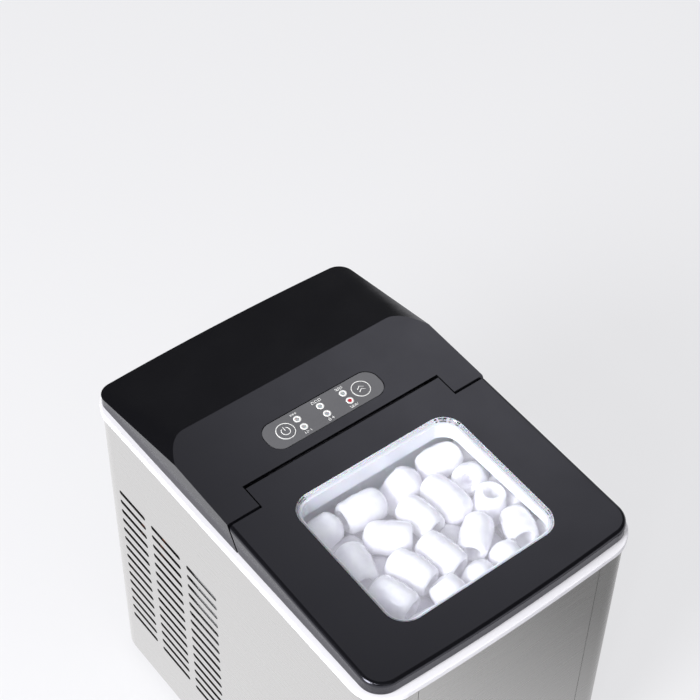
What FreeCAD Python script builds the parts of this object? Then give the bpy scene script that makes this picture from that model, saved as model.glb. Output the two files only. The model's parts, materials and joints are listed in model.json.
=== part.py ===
import FreeCAD, Part
import math
import os
from FreeCAD import Vector

# Countertop ice maker, millimetres. X to the right seen from the front, the front faces -Y, Z up.
# The origin is on the resting surface, in the middle of the bezel's footprint.

# overall
width = 239.0            # across the bezel
depth = 348.0            # front to back over the bezel
height = 327.0           # top of the console's ridge
rear_length = 174.0      # machine space: from the dividing plane, where Y is 0 in this source, to the rear
gap = 0.3                # clearance between fixed pieces
running = 0.05           # radial clearance round a pin or a shaft
snug = 0.02              # radial clearance of a pressed pin or a lamp in its hole

# black top: the lid and the control console
console_rise = 24.7      # the ridge above the bezel
front_rise = 11.0        # the lid's front edge above the bezel
rear_rise = 6.5          # the console's rear edge above the bezel
ridge_back = 86.5        # the ridge lies this far in front of the console's rear edge
side_margin = 4.5        # bezel showing beside the black top
end_margin = 5.5         # bezel showing in front of it and behind it
top_corner = 17.0        # plan radius of the black top's front corners
top_rear_corner = 13.0   # and of its rear ones
bezel_corner = 28.0      # plan radius of the bezel
edge_bow = 3.5           # how far the front and rear edges bow out
roll_width = 27.0        # the rear face rolls off at its sides
roll_drop = 6.2
roll_front_y = 58.65
roll_rear_width = 9.0
roll_rear_drop = 0.5
loft_front_y = -20.0     # the rear block is lofted from here
edge_fillet = 3.0
skin = 2.5               # moulded wall

# lid split and hinge
ear_width = 28.3         # console beside the tongue, up to the black top's side
tongue_rear = 13.8
tongue_side_gap = 1.0
tongue_rear_gap = 2.9
ear_seam_y = -4.4        # seam beside the ears, at the top surface
ear_seam_lean = 11.1     # it runs this much forward down to the bezel
ear_seam_gap = 2.4
lid_rest_gap = 1.0
hinge_y = 7.5
hinge_below_top = 6.0
hinge_clear = 14.4       # free radius round the hinge axis
hinge_lift = 3.2         # the tongue's low rear edge stays this far inside that radius
pin_radius = 2.4
pin_length = 15.0
pin_bury = 4.7           # how far a pin reaches past the tongue's side
ear_boss_radius = 5.2
lid_boss_radius = 4.8
lid_boss_length = 8.5
ear_boss_length = 9.0

# lid window
window_margin_x = 42.0   # black lid beside the window
window_margin_y = 30.5   # black lid in front of the window
window_rear = -13.5
window_corner = 17.0
window_thick = 3.0
window_flange = 4.0
window_step = 0.9        # depth of the step round the window's rim
window_slope_in = 0.8    # the step's wall slopes in by this much
window_hollow = 2.2      # the pane is thinned this far inside its rim
window_pane = 1.6
frame_wall = 2.0
frame_plate = 2.0
frame_hinge_gap = 8.0    # it ends this far in front of the hinge
bumper_radius = 4.0
bumper_inset = 10.0      # inside the black top's side
lid_column_radius = 3.2
lid_screw_inset = 19.0   # inside the black top's side
frame_lip = 5.0          # the frame reaches this far in under the window

# control plate
panel_y = 38.6
panel_half = 50.8
panel_half_y = 12.45
panel_corner = 10.5
panel_gap = 0.7          # shadow line round the plate
panel_thick = 1.1
panel_sunk = 0.1
panel_ledge = 2.0
button_x = 34.0
button_radius = 6.5
button_gap = 0.15
button_proud = 0.3
button_travel = 0.8
button_flange = 1.0
button_stem = 1.6
lamp_pitch = 20.7
lamp_row = 4.2
lens_radius = 1.5
lens_bottom = -2.6
board_top = -7.4         # below the control face
board_post_x = 56.0
board_post_y = 8.0
board_thick = 1.6
post_radius = 2.6
post_bury = 0.4          # how far a post or a column runs into the wall above it
post_pilot_depth = 4.0
screw_core = 0.85        # small self-tapping screws
screw_pilot = 0.9
switch_size = 6.0
switch_height = 3.2

# steel casing
sheet = 0.8
body_inset = 1.5         # panels lie this far inside the bezel
body_inset_y = 5.0
body_corner = 25.0
panel_bottom = 11.0
panel_seat = 3.0         # the panels end this far below the bezel's top
flange_width = 36.5      # side panels wrap round the corners by this much
panel_joint = 0.4
strip_lap = 12.0
slot_height = 4.4
slot_pitch = 11.27
slot_rows = 15
slot_drop = 80.3         # the highest row below the bezel's top
slot_columns = ((104.3, 139.3), (57.8, 96.3), (11.3, 49.8))
grille_rows = 12
grille_half = 50.0
grille_pitch = 9.0
grille_slot = 3.0
grille_bottom = 70.0
flange_screw_in = 5.0    # the rear screws inside the side panels' flanges
rear_screws_z = (34.0, 155.0, 276.0)
rear_screw_radius = 1.5
inlet_x = 54.0           # where the supply lead would enter
inlet_z = 44.0
inlet_radius = 7.0
lead_radius = 3.6

# bezel
lip_drop = 5.2
bezel_round = 0.8
bezel_low_round = 0.4
deck_thick = 2.5
skirt_drop = 14.0
skirt_wall = 2.0
mouth_margin = 19.5      # deck between the body's side and the mouth
mouth_front_margin = 14.0
mouth_rear = -8.5

# base and feet
pan_bottom = 10.0
pan_floor = 2.0
pan_rim = 26.0
pan_wall = 1.5
foot_radius = 11.0
foot_inset_x = 24.5
foot_inset_y = 28.0
foot_screw_radius = 1.8

# liner
liner_margin = 14.5      # between the body's side and the liner
liner_front_margin = 10.0
liner_rear = 62.0
liner_wall = 2.5
shelf_drop = 129.8       # the shelf below the bezel's top
tank_step = 20.0         # the tank is narrower than the liner by this on each side
tank_step_front = 18.0
tank_rear = 8.0
tank_bottom = 70.0
liner_corner = 20.0
tank_corner = 14.0
brim_side = 7.0
brim_front = 6.0
brim_rear = 4.0
brim_thick = 2.5
foam = 8.0

# basket
basket_side_gap = 10.0   # room for the hose beside it
basket_front_gap = 8.5
basket_rear = -15.0
basket_drop = 19.3       # its rim below the bezel's top
basket_wall = 2.0
basket_rim = 3.0
basket_notch_drop = 90.3 # its rear wall is cut down to here
basket_notch_side = 12.0
basket_corner = 18.0
basket_slot = 3.2

baffle_thick = 2.0
baffle_drop = 56.3       # its lower edge below the bezel's top
chute_half = 80.0
chute_drop_front = 86.3  # below the bezel's top
chute_drop_rear = 62.3
chute_thick = 2.0

# freezing unit
tray_y = 32.0
tray_drop = 32.3         # the tray's axis below the bezel's top
tray_radius = 26.0
tray_wall = 1.8
tray_side_gap = 24.0
tray_lip = -4.0
tray_hub = 6.0
shaft_radius = 3.0
finger_radius = 5.0
finger_row = 11.0
finger_drop = 48.3       # their tips below the bezel's top
tube_drop = 14.3
tube_radius = 5.0
feed_x = 72.0
return_x = 53.0
motor_radius = 20.0
motor_length = 11.0
pump_height = 34.0
pump_inset = 14.0        # the pump's spout inside the tank's side
pump_spout_y = -8.0
hose_radius = 3.5
hose_inset = 10.5
hose_y = -2.0

# drain
drain_back = 68.0        # behind the body's front
drain_rise = 14.0        # above the tank's bottom
drain_radius = 8.0
drain_bore = 5.0

# machine space
compressor_inset = 64.5  # its axis inside the body's right side
compressor_y = 112.0
compressor_radius = 48.0
compressor_bottom = 29.0
compressor_top = 150.0
mount_reach = 40.0
bolt_radius = 2.2
condenser_inset = 8.5    # inside the body's left side
condenser_thick = 20.0
condenser_y0 = 25.0
condenser_y1 = 150.0
condenser_z0 = 40.0
condenser_z1 = 150.0
condenser_tube = 3.2
condenser_rows = 6
fin_count = 20
fin_half = 0.4
fan_y = 88.0
fan_z = 95.0
fan_radius = 43.0
fan_stand = 34.0         # the motor's bracket beyond the condenser
fan_shaft_radius = 2.0
pipe_radius = 3.0
suction_radius = 4.0
drier_x = -45.0
drier_y = 142.0
drier_radius = 8.5
drier_bottom = 92.0
drier_top = 148.0
valve_bottom = 188.0
valve_top = 224.0
valve_y = 138.0
tee_y = 100.0
tee_half = 6.0
power_board_stand = 6.0
power_board_thick = 1.6
power_board_z0 = 192.0
power_board_z1 = 262.0

# worked out from the sizes above
half_x = width / 2
front_y = rear_length - depth
rear_y = rear_length
black_x = half_x - side_margin
black_front = front_y + end_margin
black_rear = rear_y - end_margin
body_x = half_x - body_inset
body_front = front_y + body_inset_y
body_rear = rear_y - body_inset_y
bezel_top = height - console_rise
panel_top = bezel_top - panel_seat
ridge_y = black_rear - ridge_back
slope = (console_rise - front_rise) / (ridge_y - black_front)
slope_deg = math.degrees(math.atan(slope))
fall = (console_rise - rear_rise) / ridge_back
tongue_half = black_x - ear_width
pin_inner_x = tongue_half - pin_bury
window_half = black_x - window_margin_x
window_front = black_front + window_margin_y
mouth_half = body_x - mouth_margin
mouth_front = body_front + mouth_front_margin
flange_x = body_x - flange_width
rear_screw_x = flange_x + flange_screw_in
slot_top_z = bezel_top - slot_drop
foot_x = body_x - foot_inset_x
foot_front = body_front + foot_inset_y
foot_rear = body_rear - foot_inset_y
liner_half = body_x - liner_margin
liner_front = body_front + liner_front_margin
liner_top = bezel_top - deck_thick
shelf_z = bezel_top - shelf_drop
tank_half = liner_half - tank_step
tank_front = liner_front + tank_step_front
basket_half = liner_half - basket_side_gap
basket_front = liner_front + basket_front_gap
basket_top = bezel_top - basket_drop
basket_rear_top = bezel_top - basket_notch_drop
lid_bottom = bezel_top + lid_rest_gap
tray_z = bezel_top - tray_drop
tray_half = liner_half - tray_side_gap
finger_bottom = bezel_top - finger_drop
tube_z = bezel_top - tube_drop
pump_spout_x = tank_half - pump_inset
hose_x = liner_half - hose_inset
drain_y = body_front + drain_back
drain_z = tank_bottom + drain_rise
compressor_x = body_x - compressor_inset
valve_x = compressor_x
condenser_x = condenser_inset - body_x
power_board_x = -flange_x - 8
condenser_mid = condenser_x + condenser_thick / 2
condenser_side = condenser_x + condenser_thick
FAR = 400.0
MARGIN = 10.0            # how far a cutting or trimming solid runs past the piece


def slope_z(y):
    return height - slope * (ridge_y - y)


def rear_z(y):
    return height - fall * (y - ridge_y)


hinge_z = slope_z(hinge_y) - hinge_below_top
panel_z = slope_z(panel_y)
seam_run = ear_seam_lean / (slope_z(ear_seam_y) - bezel_top)
seam_slant = math.hypot(1, seam_run)


# general shapes

def save(name, shape):
    # moves the piece so that the origin is in the middle of the footprint
    placed = shape.copy()
    placed.translate(Vector(0, depth / 2 - rear_length, 0))
    placed.exportStep("parts/" + name + ".step")
    print(name, len(placed.Solids), "solids", round(placed.Volume), "mm3", placed.isValid())


def box(x0, x1, y0, y1, z0, z1):
    return Part.makeBox(x1 - x0, y1 - y0, z1 - z0, Vector(x0, y0, z0))


def rod(x, y, z, radius, length, axis):
    return Part.makeCylinder(radius, length, Vector(x, y, z), axis)


def along_x(x, y, z, radius, length):
    return rod(x, y, z, radius, length, Vector(1, 0, 0))


def along_y(x, y, z, radius, length):
    return rod(x, y, z, radius, length, Vector(0, 1, 0))


def upright(x, y, z, radius, length):
    return rod(x, y, z, radius, length, Vector(0, 0, 1))


def group(solids):
    return Part.makeCompound(solids)


def fuse(solids):
    return solids[0].fuse(solids[1:]).removeSplitter()


def vertical_edges(shape):
    picked = []
    for edge in shape.Edges:
        ends = edge.Vertexes
        if len(ends) == 2:
            run = ends[1].Point - ends[0].Point
            if abs(run.x) < 1e-6 and abs(run.y) < 1e-6:
                picked.append(edge)
    return picked


def rounded(x0, x1, y0, y1, z0, z1, radius):
    block = box(x0, x1, y0, y1, z0, z1)
    return block.makeFillet(radius, vertical_edges(block))


def tub(x0, x1, y0, y1, z0, z1, radius, wall):
    inner = rounded(x0 + wall, x1 - wall, y0 + wall, y1 - wall, z0 + wall, z1 + 1, radius - wall)
    return rounded(x0, x1, y0, y1, z0, z1, radius).cut(inner)


def bowed_prism(x, front, rear, front_corner, rear_corner, z0, z1):
    # rectangle whose front and rear edges bow out at the middle, with rounded corners
    near = front + edge_bow
    far = rear - edge_bow
    corners = [Vector(-x, near, z0), Vector(x, near, z0), Vector(x, far, z0), Vector(-x, far, z0)]
    edges = [
        Part.Arc(corners[0], Vector(0, front, z0), corners[1]).toShape(),
        Part.makeLine(corners[1], corners[2]),
        Part.Arc(corners[2], Vector(0, rear, z0), corners[3]).toShape(),
        Part.makeLine(corners[3], corners[0]),
    ]
    prism = Part.Face(Part.Wire(edges)).extrude(Vector(0, 0, z1 - z0))
    middle = (front + rear) / 2
    prism = prism.makeFillet(front_corner, [e for e in vertical_edges(prism) if e.CenterOfMass.y < middle])
    return prism.makeFillet(rear_corner, [e for e in vertical_edges(prism) if e.CenterOfMass.y > middle])


def prism_x(points, x0, x1):
    # extrudes an outline in the YZ plane along X
    ring = [Vector(x0, y, z) for y, z in points]
    return Part.Face(Part.makePolygon(ring + ring[:1])).extrude(Vector(x1 - x0, 0, 0))


def pipe(points, radius, bend):
    # round bar along straight runs joined by tangent arcs
    path = []
    last = points[0]
    for i in range(1, len(points) - 1):
        corner = points[i]
        back = (points[i - 1] - corner).normalize()
        onward = (points[i + 1] - corner).normalize()
        turn = math.pi - back.getAngle(onward)
        cut = bend * math.tan(turn / 2)
        start = corner + back * cut
        stop = corner + onward * cut
        middle = (back + onward).normalize()
        crown = corner + middle * (bend / math.cos(turn / 2) - bend)
        if (start - last).Length > 1e-6:
            path.append(Part.makeLine(last, start))
        path.append(Part.Arc(start, crown, stop).toShape())
        last = stop
    path.append(Part.makeLine(last, points[-1]))
    spine = Part.Wire(path)
    direction = points[1] - points[0]
    section = Part.Wire(Part.makeCircle(radius, points[0], direction))
    return spine.makePipeShell([section], True, False)


def on_face(shape):
    # moves a shape made about the control plate's middle onto the sloping face
    placed = shape.copy()
    placed.Placement = FreeCAD.Placement(
        Vector(0, panel_y, panel_z), FreeCAD.Rotation(Vector(1, 0, 0), slope_deg))
    return placed


def panel_plan(grow, z0, z1):
    x = panel_half + grow
    y = panel_half_y + grow
    return rounded(-x, x, -y, y, z0, z1, panel_corner + grow)


# the black top: a block under both sloping faces, cut to the plan outline

def mirrored(point):
    return Vector(-point.x, point.y, point.z)


def rolled_section(y, inset):
    # cross-section of the rear block at y, with its shoulders rolled off
    share = (black_rear - y) / (black_rear - roll_front_y)
    drop = roll_rear_drop + (roll_drop - roll_rear_drop) * share
    run = roll_rear_width + (roll_width - roll_rear_width) * share
    x = black_x
    top = rear_z(y) - inset
    bottom = bezel_top - 2 * MARGIN
    radius = (run * run + drop * drop) / (2 * drop)
    half_angle = math.asin(run / radius) / 2
    mid = Vector(x - run + radius * math.sin(half_angle), y, top - radius * (1 - math.cos(half_angle)))
    right = Vector(x, y, top - drop)
    inner = Vector(x - run, y, top)
    return Part.Wire([
        Part.makeLine(Vector(-x, y, bottom), Vector(x, y, bottom)),
        Part.makeLine(Vector(x, y, bottom), right),
        Part.Arc(right, mid, inner).toShape(),
        Part.makeLine(inner, mirrored(inner)),
        Part.Arc(mirrored(inner), mirrored(mid), mirrored(right)).toShape(),
        Part.makeLine(mirrored(right), Vector(-x, y, bottom)),
    ])


def under_face(drop, z0):
    # slab between z0 and the plane that lies drop below the control slope
    y0 = front_y - MARGIN
    y1 = rear_y
    outline = [(y0, z0), (y1, z0), (y1, slope_z(y1) - drop), (y0, slope_z(y0) - drop)]
    return prism_x(outline, -half_x, half_x)


def black_plan(inset, z0):
    return bowed_prism(black_x - inset, black_front + inset, black_rear - inset,
                       top_corner - inset, top_rear_corner - inset, z0, FAR)


def rear_block(inset, z0):
    sections = [rolled_section(loft_front_y, inset), rolled_section(black_rear + MARGIN, inset)]
    return Part.makeLoft(sections, True, True).common(under_face(inset, z0))


def seam_cutter(shift):
    # everything in front of the leaning ear seam; shift moves it back along Y
    y_top = ear_seam_y + shift
    y_low = y_top - ear_seam_lean
    up = FAR - slope_z(ear_seam_y)
    down = 3 * MARGIN
    low = bezel_top - down
    outline = [(-FAR, low), (y_low - seam_run * down, low), (y_top + seam_run * up, FAR), (-FAR, FAR)]
    return prism_x(outline, -FAR, FAR)


def console_block(inset, z0):
    seam = ear_seam_gap / 2 + inset * seam_slant
    return rear_block(inset, z0).common(black_plan(inset, z0)).cut(seam_cutter(seam))


def console_outside():
    # a lip at the top covers the swing room of the lid's tongue
    pocket_x = tongue_half + tongue_side_gap
    wall_y = hinge_y + hinge_clear
    lip_y = tongue_rear + tongue_rear_gap
    lip_under = slope_z(lip_y) - skin
    low = bezel_top - MARGIN
    upper = box(-pocket_x, pocket_x, -FAR, lip_y, low, FAR)
    lower = box(-pocket_x, pocket_x, -FAR, wall_y, low, lip_under)
    return console_block(0, bezel_top).cut(upper).cut(lower)


def console_inside():
    pocket_x = tongue_half + tongue_side_gap + skin
    wall_y = hinge_y + hinge_clear + skin
    low = bezel_top - MARGIN
    return console_block(skin, low).cut(box(-pocket_x, pocket_x, -FAR, wall_y, low, FAR))


def board_posts():
    return [(x, y) for x in (-board_post_x, board_post_x) for y in (-board_post_y, board_post_y)]


def console_cover():
    ear_x = tongue_half + tongue_side_gap
    parts = [console_outside().cut(console_inside())]
    for start in (ear_x, -ear_x - ear_boss_length):
        parts.append(along_x(start, hinge_y, hinge_z, ear_boss_radius, ear_boss_length))
    for x, y in board_posts():
        parts.append(on_face(upright(x, y, board_top, post_radius, -board_top - skin + post_bury)))
    shell = fuse(parts)
    for start in (ear_x, -ear_x - ear_boss_length):
        shell = shell.cut(along_x(start - 1, hinge_y, hinge_z, pin_radius + running, ear_boss_length + 2))
    recess = panel_plan(panel_gap, -panel_thick - panel_sunk, MARGIN)
    through = panel_plan(-panel_ledge, -MARGIN, MARGIN)
    shell = shell.cut(on_face(recess)).cut(on_face(through))
    for x, y in board_posts():
        shell = shell.cut(on_face(upright(x, y, board_top - 1, screw_pilot, post_pilot_depth + 1)))
    return shell


# control plate and what is on its board

def lamp_places():
    return [(i * lamp_pitch, row) for row in (lamp_row, -lamp_row) for i in (-1, 0, 1)]


def control_panel():
    plate = panel_plan(0, -panel_thick - panel_sunk, -panel_sunk)
    for x in (-button_x, button_x):
        plate = plate.cut(upright(x, 0, -MARGIN, button_radius + button_gap, 2 * MARGIN))
    for x, y in lamp_places():
        plate = plate.cut(upright(x, y, -MARGIN, lens_radius + snug, 2 * MARGIN))
    return on_face(plate)


def button(x):
    cap_bottom = -panel_thick - panel_sunk - gap
    cap = upright(x, 0, cap_bottom - 0.1, button_radius, button_proud - cap_bottom + 0.1)
    top = [e for e in cap.Edges if abs(e.CenterOfMass.z - button_proud) < 1e-6 and len(e.Vertexes) == 1]
    cap = cap.makeFillet(button_proud - 0.05, top)
    flange = upright(x, 0, cap_bottom - button_flange, button_radius + button_flange, button_flange)
    stem_bottom = board_top + switch_height + button_travel + 0.1
    stem = upright(x, 0, stem_bottom, button_stem, cap_bottom - button_flange - stem_bottom + 0.5)
    return on_face(fuse([cap, flange, stem]))


def lamp_lenses(places):
    return [on_face(upright(x, y, lens_bottom, lens_radius, -lens_bottom - snug)) for x, y in places]


def lamp_bodies():
    radius = lens_radius - 0.1
    return [on_face(upright(x, y, board_top, radius, lens_bottom - board_top)) for x, y in lamp_places()]


def control_board():
    edge_x = board_post_x + 4
    edge_y = board_post_y + 3
    board = rounded(-edge_x, edge_x, -edge_y, edge_y, board_top - board_thick, board_top, 2.0)
    for x, y in board_posts():
        board = board.cut(upright(x, y, board_top - MARGIN, screw_core + 0.45, 2 * MARGIN))
    return on_face(board)


def board_screws():
    screws = []
    low = board_top - board_thick
    for x, y in board_posts():
        head = upright(x, y, low - 1.4, 2.2, 1.4)
        shank = upright(x, y, low - 0.5, screw_core, post_pilot_depth + board_thick - 0.1)
        screws.append(on_face(fuse([head, shank])))
    return screws


def push_switches():
    half = switch_size / 2
    key = 0.6
    switches = []
    for x in (-button_x, button_x):
        block = box(x - half, x + half, -half, half, board_top, board_top + switch_height - key)
        switches.append(on_face(fuse([block, upright(x, 0, board_top + 1, 1.7, switch_height - 1)])))
    return switches


# lid

def lid_solid(inset, z0):
    slab = under_face(inset, z0)
    seam = -ear_seam_gap / 2 - inset * seam_slant
    wings = slab.common(black_plan(inset, z0)).common(seam_cutter(seam))
    tongue_x = tongue_half - inset
    low_y = ear_seam_y + seam - ear_seam_lean - 5
    tongue = slab.common(box(-tongue_x, tongue_x, low_y, tongue_rear - inset, z0, FAR))
    return fuse([wings, tongue])


def hinge_relief():
    # keeps the tongue's low rear corner inside the swing circle
    return box(-FAR, FAR, hinge_y, FAR, 0, hinge_z - hinge_clear + hinge_lift)


def lid_shell():
    outer = fillet_lid(lid_solid(0, lid_bottom).cut(hinge_relief()))
    parts = [outer.cut(lid_solid(skin, lid_bottom - MARGIN))]
    for start in (tongue_half - lid_boss_length, -tongue_half):
        parts.append(along_x(start, hinge_y, hinge_z, lid_boss_radius, lid_boss_length))
    low = lid_bottom + frame_plate
    for x, y in lid_screw_places():
        parts.append(upright(x, y, low, lid_column_radius, slope_z(y) - skin - low + post_bury))
    shell = fuse(parts)
    for start in (pin_inner_x, -pin_inner_x - pin_length):
        shell = shell.cut(along_x(start, hinge_y, hinge_z, pin_radius + snug, pin_length))
    for x, y in lid_screw_places():
        shell = shell.cut(upright(x, y, lid_bottom, screw_pilot, frame_plate + post_pilot_depth))
    return shell.cut(window_plan(0, liner_top, FAR))


def on_slope(point, slack):
    return abs(point.z - slope_z(point.y)) < slack


def fillet_lid(outer):
    # rounds the lid's top rim, apart from the tongue and the ear seams
    edges = []
    for edge in outer.Edges:
        middle = edge.valueAt((edge.FirstParameter + edge.LastParameter) / 2)
        ends_on = all(on_slope(v.Point, 0.01) for v in edge.Vertexes)
        if ends_on and on_slope(middle, 0.05) and middle.y < ear_seam_y - 2 and edge.Length > 5:
            edges.append(edge)
    return outer.makeFillet(edge_fillet, edges)


def lid_screw_places():
    x = black_x - lid_screw_inset
    rows = (window_front - 11, (window_front + ear_seam_y) / 2 - 14, ear_seam_y - 20)
    return [(side * x, y) for side in (-1, 1) for y in rows]


def window_plan(grow, z0, z1):
    return rounded(-window_half - grow, window_half + grow, window_front - grow, window_rear + grow,
                   z0, z1, window_corner + grow)


def under_slope(drop, thick):
    # slab that follows the control slope, drop below it
    y0 = front_y
    y1 = rear_y
    low = drop + thick
    return prism_x([
        (y0, slope_z(y0) - low), (y1, slope_z(y1) - low), (y1, slope_z(y1) - drop), (y0, slope_z(y0) - drop)],
        -half_x, half_x)


def window_wire(inset, drop):
    # the window's outline, inset and laid parallel to the slope
    y0 = window_front + inset
    y1 = window_rear - inset
    mid = (y0 + y1) / 2
    ring = rounded(inset - window_half, window_half - inset, y0 - mid, y1 - mid, 0, 1, window_corner - inset)
    bottom = [f for f in ring.Faces if abs(f.CenterOfMass.z) < 1e-6][0]
    wire = bottom.OuterWire.copy()
    wire.rotate(Vector(0, 0, 0), Vector(1, 0, 0), slope_deg)
    wire.translate(Vector(0, mid, slope_z(mid) - drop))
    return wire


def lid_window():
    plug = window_plan(-gap, liner_top, FAR).common(under_slope(0, window_thick + 0.5))
    flange = window_plan(window_flange, liner_top, FAR).common(under_slope(skin, window_thick - skin + 1.0))
    pane = fuse([plug, flange])
    upper = window_wire(window_slope_in, -gap)
    lower = window_wire(2 * window_slope_in, window_step)
    pane = pane.cut(Part.makeLoft([upper, lower], True, True))
    under_pane = under_slope(window_step + window_pane, MARGIN)
    return pane.cut(window_plan(-window_hollow, liner_top, FAR).common(under_pane))


def lid_inner_frame():
    # plate under the lid, with a wall up to the window's flange and a lip below the pane
    plate_rear = hinge_y - frame_hinge_gap
    plate_zone = box(-FAR, FAR, -FAR, plate_rear, 0, lid_bottom + frame_plate)
    plate = lid_solid(skin + gap, lid_bottom).common(plate_zone)
    wall_out = window_flange - 1.0
    wall = window_plan(wall_out, lid_bottom, FAR).common(under_slope(window_thick + 1.0, FAR))
    frame = fuse([plate, wall]).cut(window_plan(wall_out - frame_wall - frame_lip, liner_top, FAR))
    for x, y in lid_screw_places():
        frame = frame.cut(upright(x, y, liner_top, screw_core + 0.45, FAR))
    for x, y in bumper_places():
        frame = frame.cut(upright(x, y, liner_top, bumper_radius + 0.03, FAR))
    return frame


def bumper_places():
    x = black_x - bumper_inset
    return [(side * x, y) for side in (-1, 1) for y in (window_front + 17, -40.0)]


def lid_bumpers():
    return [upright(x, y, bezel_top, bumper_radius, lid_rest_gap + frame_plate) for x, y in bumper_places()]


def lid_screws():
    screws = []
    head_thick = 0.2
    for x, y in lid_screw_places():
        head = upright(x, y, lid_bottom - head_thick, 2.4, head_thick)
        shank = upright(x, y, lid_bottom - head_thick / 2, screw_core, post_pilot_depth + 1)
        screws.append(fuse([head, shank]))
    return screws


def hinge_pins():
    length = pin_length - 0.5
    return [along_x(x, hinge_y, hinge_z, pin_radius, length) for x in (pin_inner_x, -pin_inner_x - length)]


# casing

def body_ring(z0, z1, inset):
    return rounded(-body_x + inset, body_x - inset, body_front + inset, body_rear - inset,
                   z0, z1, body_corner - inset)


def slot(y0, y1, z, x0, x1):
    end = slot_height / 2
    bar = box(x0, x1, y0 + end, y1 - end, z - end, z + end)
    return fuse([bar, along_x(x0, y0 + end, z, end, x1 - x0), along_x(x0, y1 - end, z, end, x1 - x0)])


def side_panel(side):
    ring = body_ring(panel_bottom, panel_top, 0).cut(body_ring(panel_bottom - 1, panel_top + 1, sheet))
    near, far = sorted((side * flange_x, side * FAR))
    panel = ring.common(box(near, far, -FAR, FAR, 0, FAR))
    cuts = rear_screw_holes()
    for row in range(slot_rows):
        z = slot_top_z - row * slot_pitch
        for y0, y1 in slot_columns:
            cuts.append(slot(y0, y1, z, side * body_x - 2 * sheet, side * body_x + 2 * sheet))
    if side > 0:
        cuts.append(along_x(body_x - MARGIN, drain_y, drain_z, drain_radius + gap, 2 * MARGIN))
    return panel.cut(cuts)


def end_panel(side):
    # sheet between the side panels, with a strip behind each of their flanges
    face = body_rear if side > 0 else body_front
    inner = face - side * sheet
    deep = inner - side * sheet
    plate_x = flange_x - panel_joint
    flat_x = body_x - body_corner
    strip_width = flat_x - flange_x + strip_lap
    plate = box(-plate_x, plate_x, min(face, inner), max(face, inner), panel_bottom, panel_top)
    low = pan_rim + gap
    high = bezel_top - skirt_drop - gap
    panel = fuse([plate] + [
        box(x0, x0 + strip_width, min(inner, deep), max(inner, deep), low, high)
        for x0 in (-flat_x, flat_x - strip_width)])
    if side > 0:
        panel = panel.cut(rear_screw_holes())
    return panel


def rear_panel():
    panel = end_panel(1)
    y0 = body_rear - 2 * sheet
    y1 = body_rear + sheet
    for row in range(grille_rows):
        z = grille_bottom + row * grille_pitch - grille_slot / 2
        panel = panel.cut(box(-grille_half, grille_half, y0, y1, z, z + grille_slot))
    return panel.cut(along_y(inlet_x, y0, inlet_z, inlet_radius + running, y1 - y0))


def cord_gland():
    # a collar outside, a neck through the sheet and a nut inside
    neck_in = 5.0
    nut = 3.5
    parts = [
        along_y(inlet_x, body_rear, inlet_z, inlet_radius + 2.5, 2.4),
        along_y(inlet_x, body_rear - neck_in, inlet_z, inlet_radius, neck_in + 1),
        along_y(inlet_x, body_rear - sheet - nut, inlet_z, inlet_radius + 2.0, nut),
    ]
    return fuse(parts).cut(along_y(inlet_x, body_rear - MARGIN, inlet_z, lead_radius, 2 * MARGIN))


def rear_screw_places():
    return [(x, z) for x in (-rear_screw_x, rear_screw_x) for z in rear_screws_z]


def rear_screw_holes():
    radius = rear_screw_radius + 0.1
    return [along_y(x, body_rear - 5, z, radius, 10) for x, z in rear_screw_places()]


def panel_screws():
    screws = []
    length = 8.0
    for x, z in rear_screw_places():
        head = along_y(x, body_rear, z, 3.4, 1.6)
        screws.append(fuse([head, along_y(x, body_rear - length, z, rear_screw_radius, length + 0.5)]))
    return screws


def edges_at(shape, level):
    return [e for e in shape.Edges
            if abs(e.BoundBox.ZMin - level) < 1e-6 and abs(e.BoundBox.ZMax - level) < 1e-6]


def top_bezel():
    low = bezel_top - lip_drop
    lip = bowed_prism(half_x, front_y, rear_y, bezel_corner, bezel_corner, low, bezel_top)
    lip = lip.makeFillet(bezel_round, edges_at(lip, bezel_top))
    lip = lip.makeFillet(bezel_low_round, edges_at(lip, low))
    lip = lip.cut(body_ring(0, bezel_top - deck_thick, -gap))
    skirt = body_ring(bezel_top - skirt_drop, bezel_top - deck_thick + 0.5, sheet + gap)
    skirt = skirt.cut(body_ring(0, bezel_top, sheet + gap + skirt_wall))
    mouth = rounded(-mouth_half, mouth_half, mouth_front, mouth_rear, shelf_z, FAR, basket_corner)
    wire_way = rounded(-40, 40, panel_y + 56.4, body_rear - 33, shelf_z, FAR, 6)
    return fuse([lip, skirt]).cut(mouth).cut(wire_way)


def base_pan():
    outer = body_ring(pan_bottom, pan_rim, sheet + gap)
    pan = outer.cut(body_ring(pan_bottom + pan_floor, FAR, sheet + gap + pan_wall))
    for x, y in foot_places():
        pan = pan.cut(upright(x, y, 0, foot_screw_radius + 0.1, FAR))
    for x, y in mount_places():
        pan = pan.cut(upright(x, y, 0, bolt_radius + gap, FAR))
    return pan


def foot_places():
    return [(x, y) for x in (-foot_x, foot_x) for y in (foot_front, foot_rear)]


def feet():
    pads = []
    for x, y in foot_places():
        pad = Part.makeCone(foot_radius - 1.5, foot_radius, pan_bottom, Vector(x, y, 0))
        counterbore = upright(x, y, -1, 4.5, 5)
        hole = upright(x, y, 0, foot_screw_radius + 0.1, 2 * MARGIN)
        pads.append(pad.cut(counterbore).cut(hole))
    return pads


def foot_screws():
    screws = []
    for x, y in foot_places():
        screws.append(fuse([upright(x, y, 2.2, 3.8, 1.8), upright(x, y, 3, foot_screw_radius, 12)]))
    return screws


# liner and basket

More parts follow.
